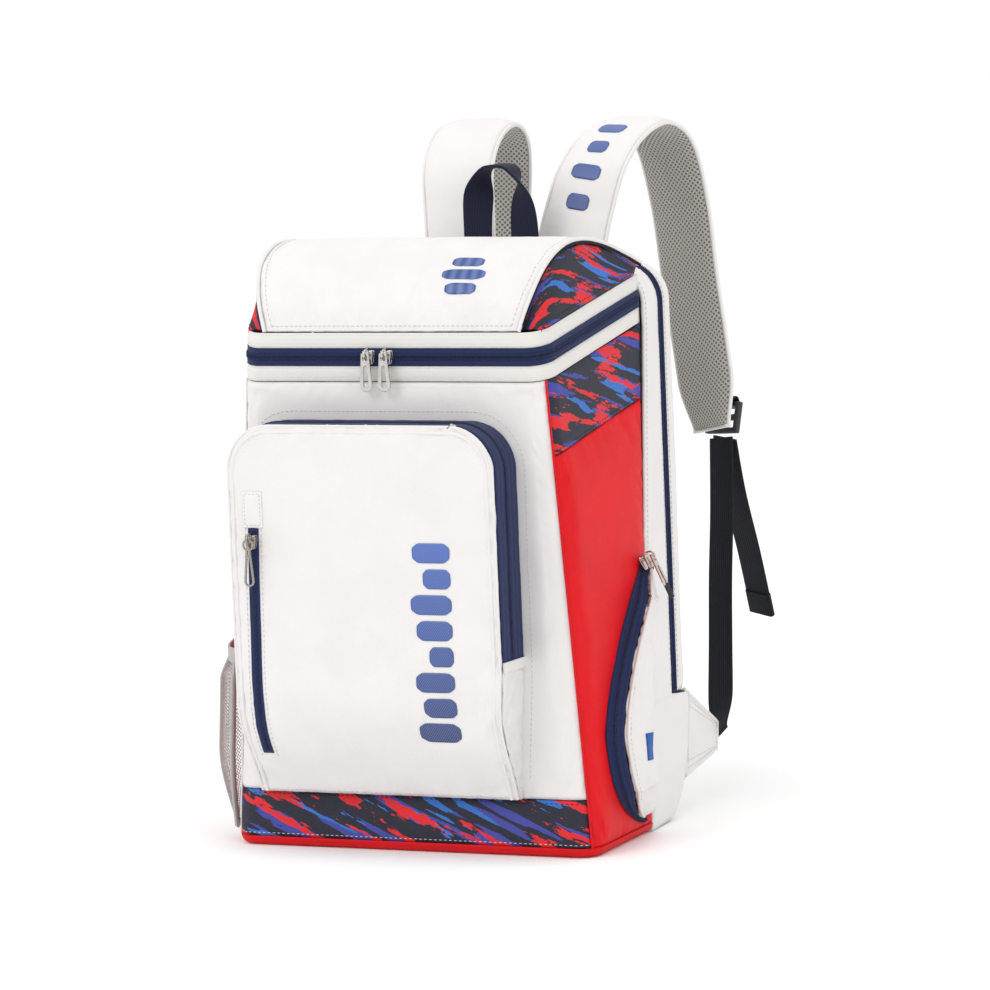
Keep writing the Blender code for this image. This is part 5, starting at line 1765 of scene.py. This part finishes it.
def backdrop_material(name, colour, roughness):
    made = Shader(name, colour, roughness, Specular_IOR_Level=0.2)
    grain = made.noise(made.mapped((3, 3, 0)), detail=2.0)
    made.link("Base Color", made.mix(grain, colour, tuple(c * 0.985 for c in colour)))
    return made.material


def build_stage():
    """Pale floor, wide enough for a camera on any side."""
    reach = 14.0
    spots = [lerp(-reach, reach, t / 12) for t in range(13)]
    rows = [[Vector((x, y, -0.00005)) for x in spots] for y in spots]
    floor = grid_object("studio_floor", rows, Vector((0, 0, -10)))
    floor.data.materials.append(backdrop_material("studio_white", (0.98, 0.98, 0.98), 0.9))


def area_light(name, place, aim, size, power, colour=(1, 1, 1)):
    data = bpy.data.lights.new(name, "AREA")
    data.shape, data.size, data.energy, data.color = "DISK", size, power, colour
    obj = new_object(name, data)
    obj.location = place
    obj.rotation_euler = (Vector(aim) - Vector(place)).to_track_quat("-Z", "Y").to_euler()


def build_lights():
    world = bpy.data.worlds.new("studio")
    bpy.context.scene.world = world
    world.use_nodes = True
    world.node_tree.nodes["Background"].inputs[0].default_value = (1, 1, 1, 1)
    world.node_tree.nodes["Background"].inputs[1].default_value = 1.04
    area_light("key", (-1.1, -2.1, 2.3), (0, 0, 0.22), 1.5, 20)
    area_light("fill", (2.2, -1.2, 1.2), (0, 0, 0.22), 1.6, 4)
    area_light("top", (0.2, 0.6, 2.6), (0, 0, 0.30), 1.8, 8)


CAMERA_AZIMUTH, CAMERA_ELEVATION, CAMERA_ROLL = 26.0, 6.3332, -2.3499
CAMERA_DISTANCE, CAMERA_TARGET, CAMERA_LENS = 4.3167, (0.0345, 0, 0.2632), 203.39


def build_camera():
    a, e, r = (math.radians(v) for v in (CAMERA_AZIMUTH, CAMERA_ELEVATION, CAMERA_ROLL))
    back = Vector((math.sin(a) * math.cos(e), -math.cos(a) * math.cos(e), math.sin(e)))
    level = Vector((math.cos(a), math.sin(a), 0))
    upright = back.cross(level)
    right = level * math.cos(r) + upright * math.sin(r)
    up = upright * math.cos(r) - level * math.sin(r)
    data = bpy.data.cameras.new("camera")
    data.lens, data.sensor_width = CAMERA_LENS, 36
    obj = new_object("camera", data)
    place = Vector(CAMERA_TARGET) + back * CAMERA_DISTANCE
    obj.matrix_world = Matrix.Translation(place) @ Matrix((right, up, back)).transposed().to_4x4()
    bpy.context.scene.camera = obj


def main():
    build_camera()
    build_stage()
    build_lights()
    build_base()
    build_front()
    for side, sign in SIDES:
        build_side(side, sign)
    build_lid_zip()
    build_lid()
    build_rear()
    build_pad("back_pad_cover_left", "back_pad_left", -0.062, 0.044, 0.165, 0.385, 0.012, 51.0)
    build_pad("back_pad_cover_right", "back_pad_right", 0.062, 0.044, 0.165, 0.385, 0.012, 52.0)
    build_pad("lumbar_pad_cover", "lumbar_pad", 0.0, 0.106, 0.108, 0.158, 0.012, 53.0)
    build_front_pocket()
    build_slot_zip()
    build_side_pocket()
    build_mesh_pocket()
    build_left_zip()
    for side, sign in SIDES:
        build_strap(side, sign)
    build_handle()
    build_sliders()
    build_print()
    bpy.context.scene.view_settings.view_transform = "Standard"


main()
bpy.context.view_layer.update()
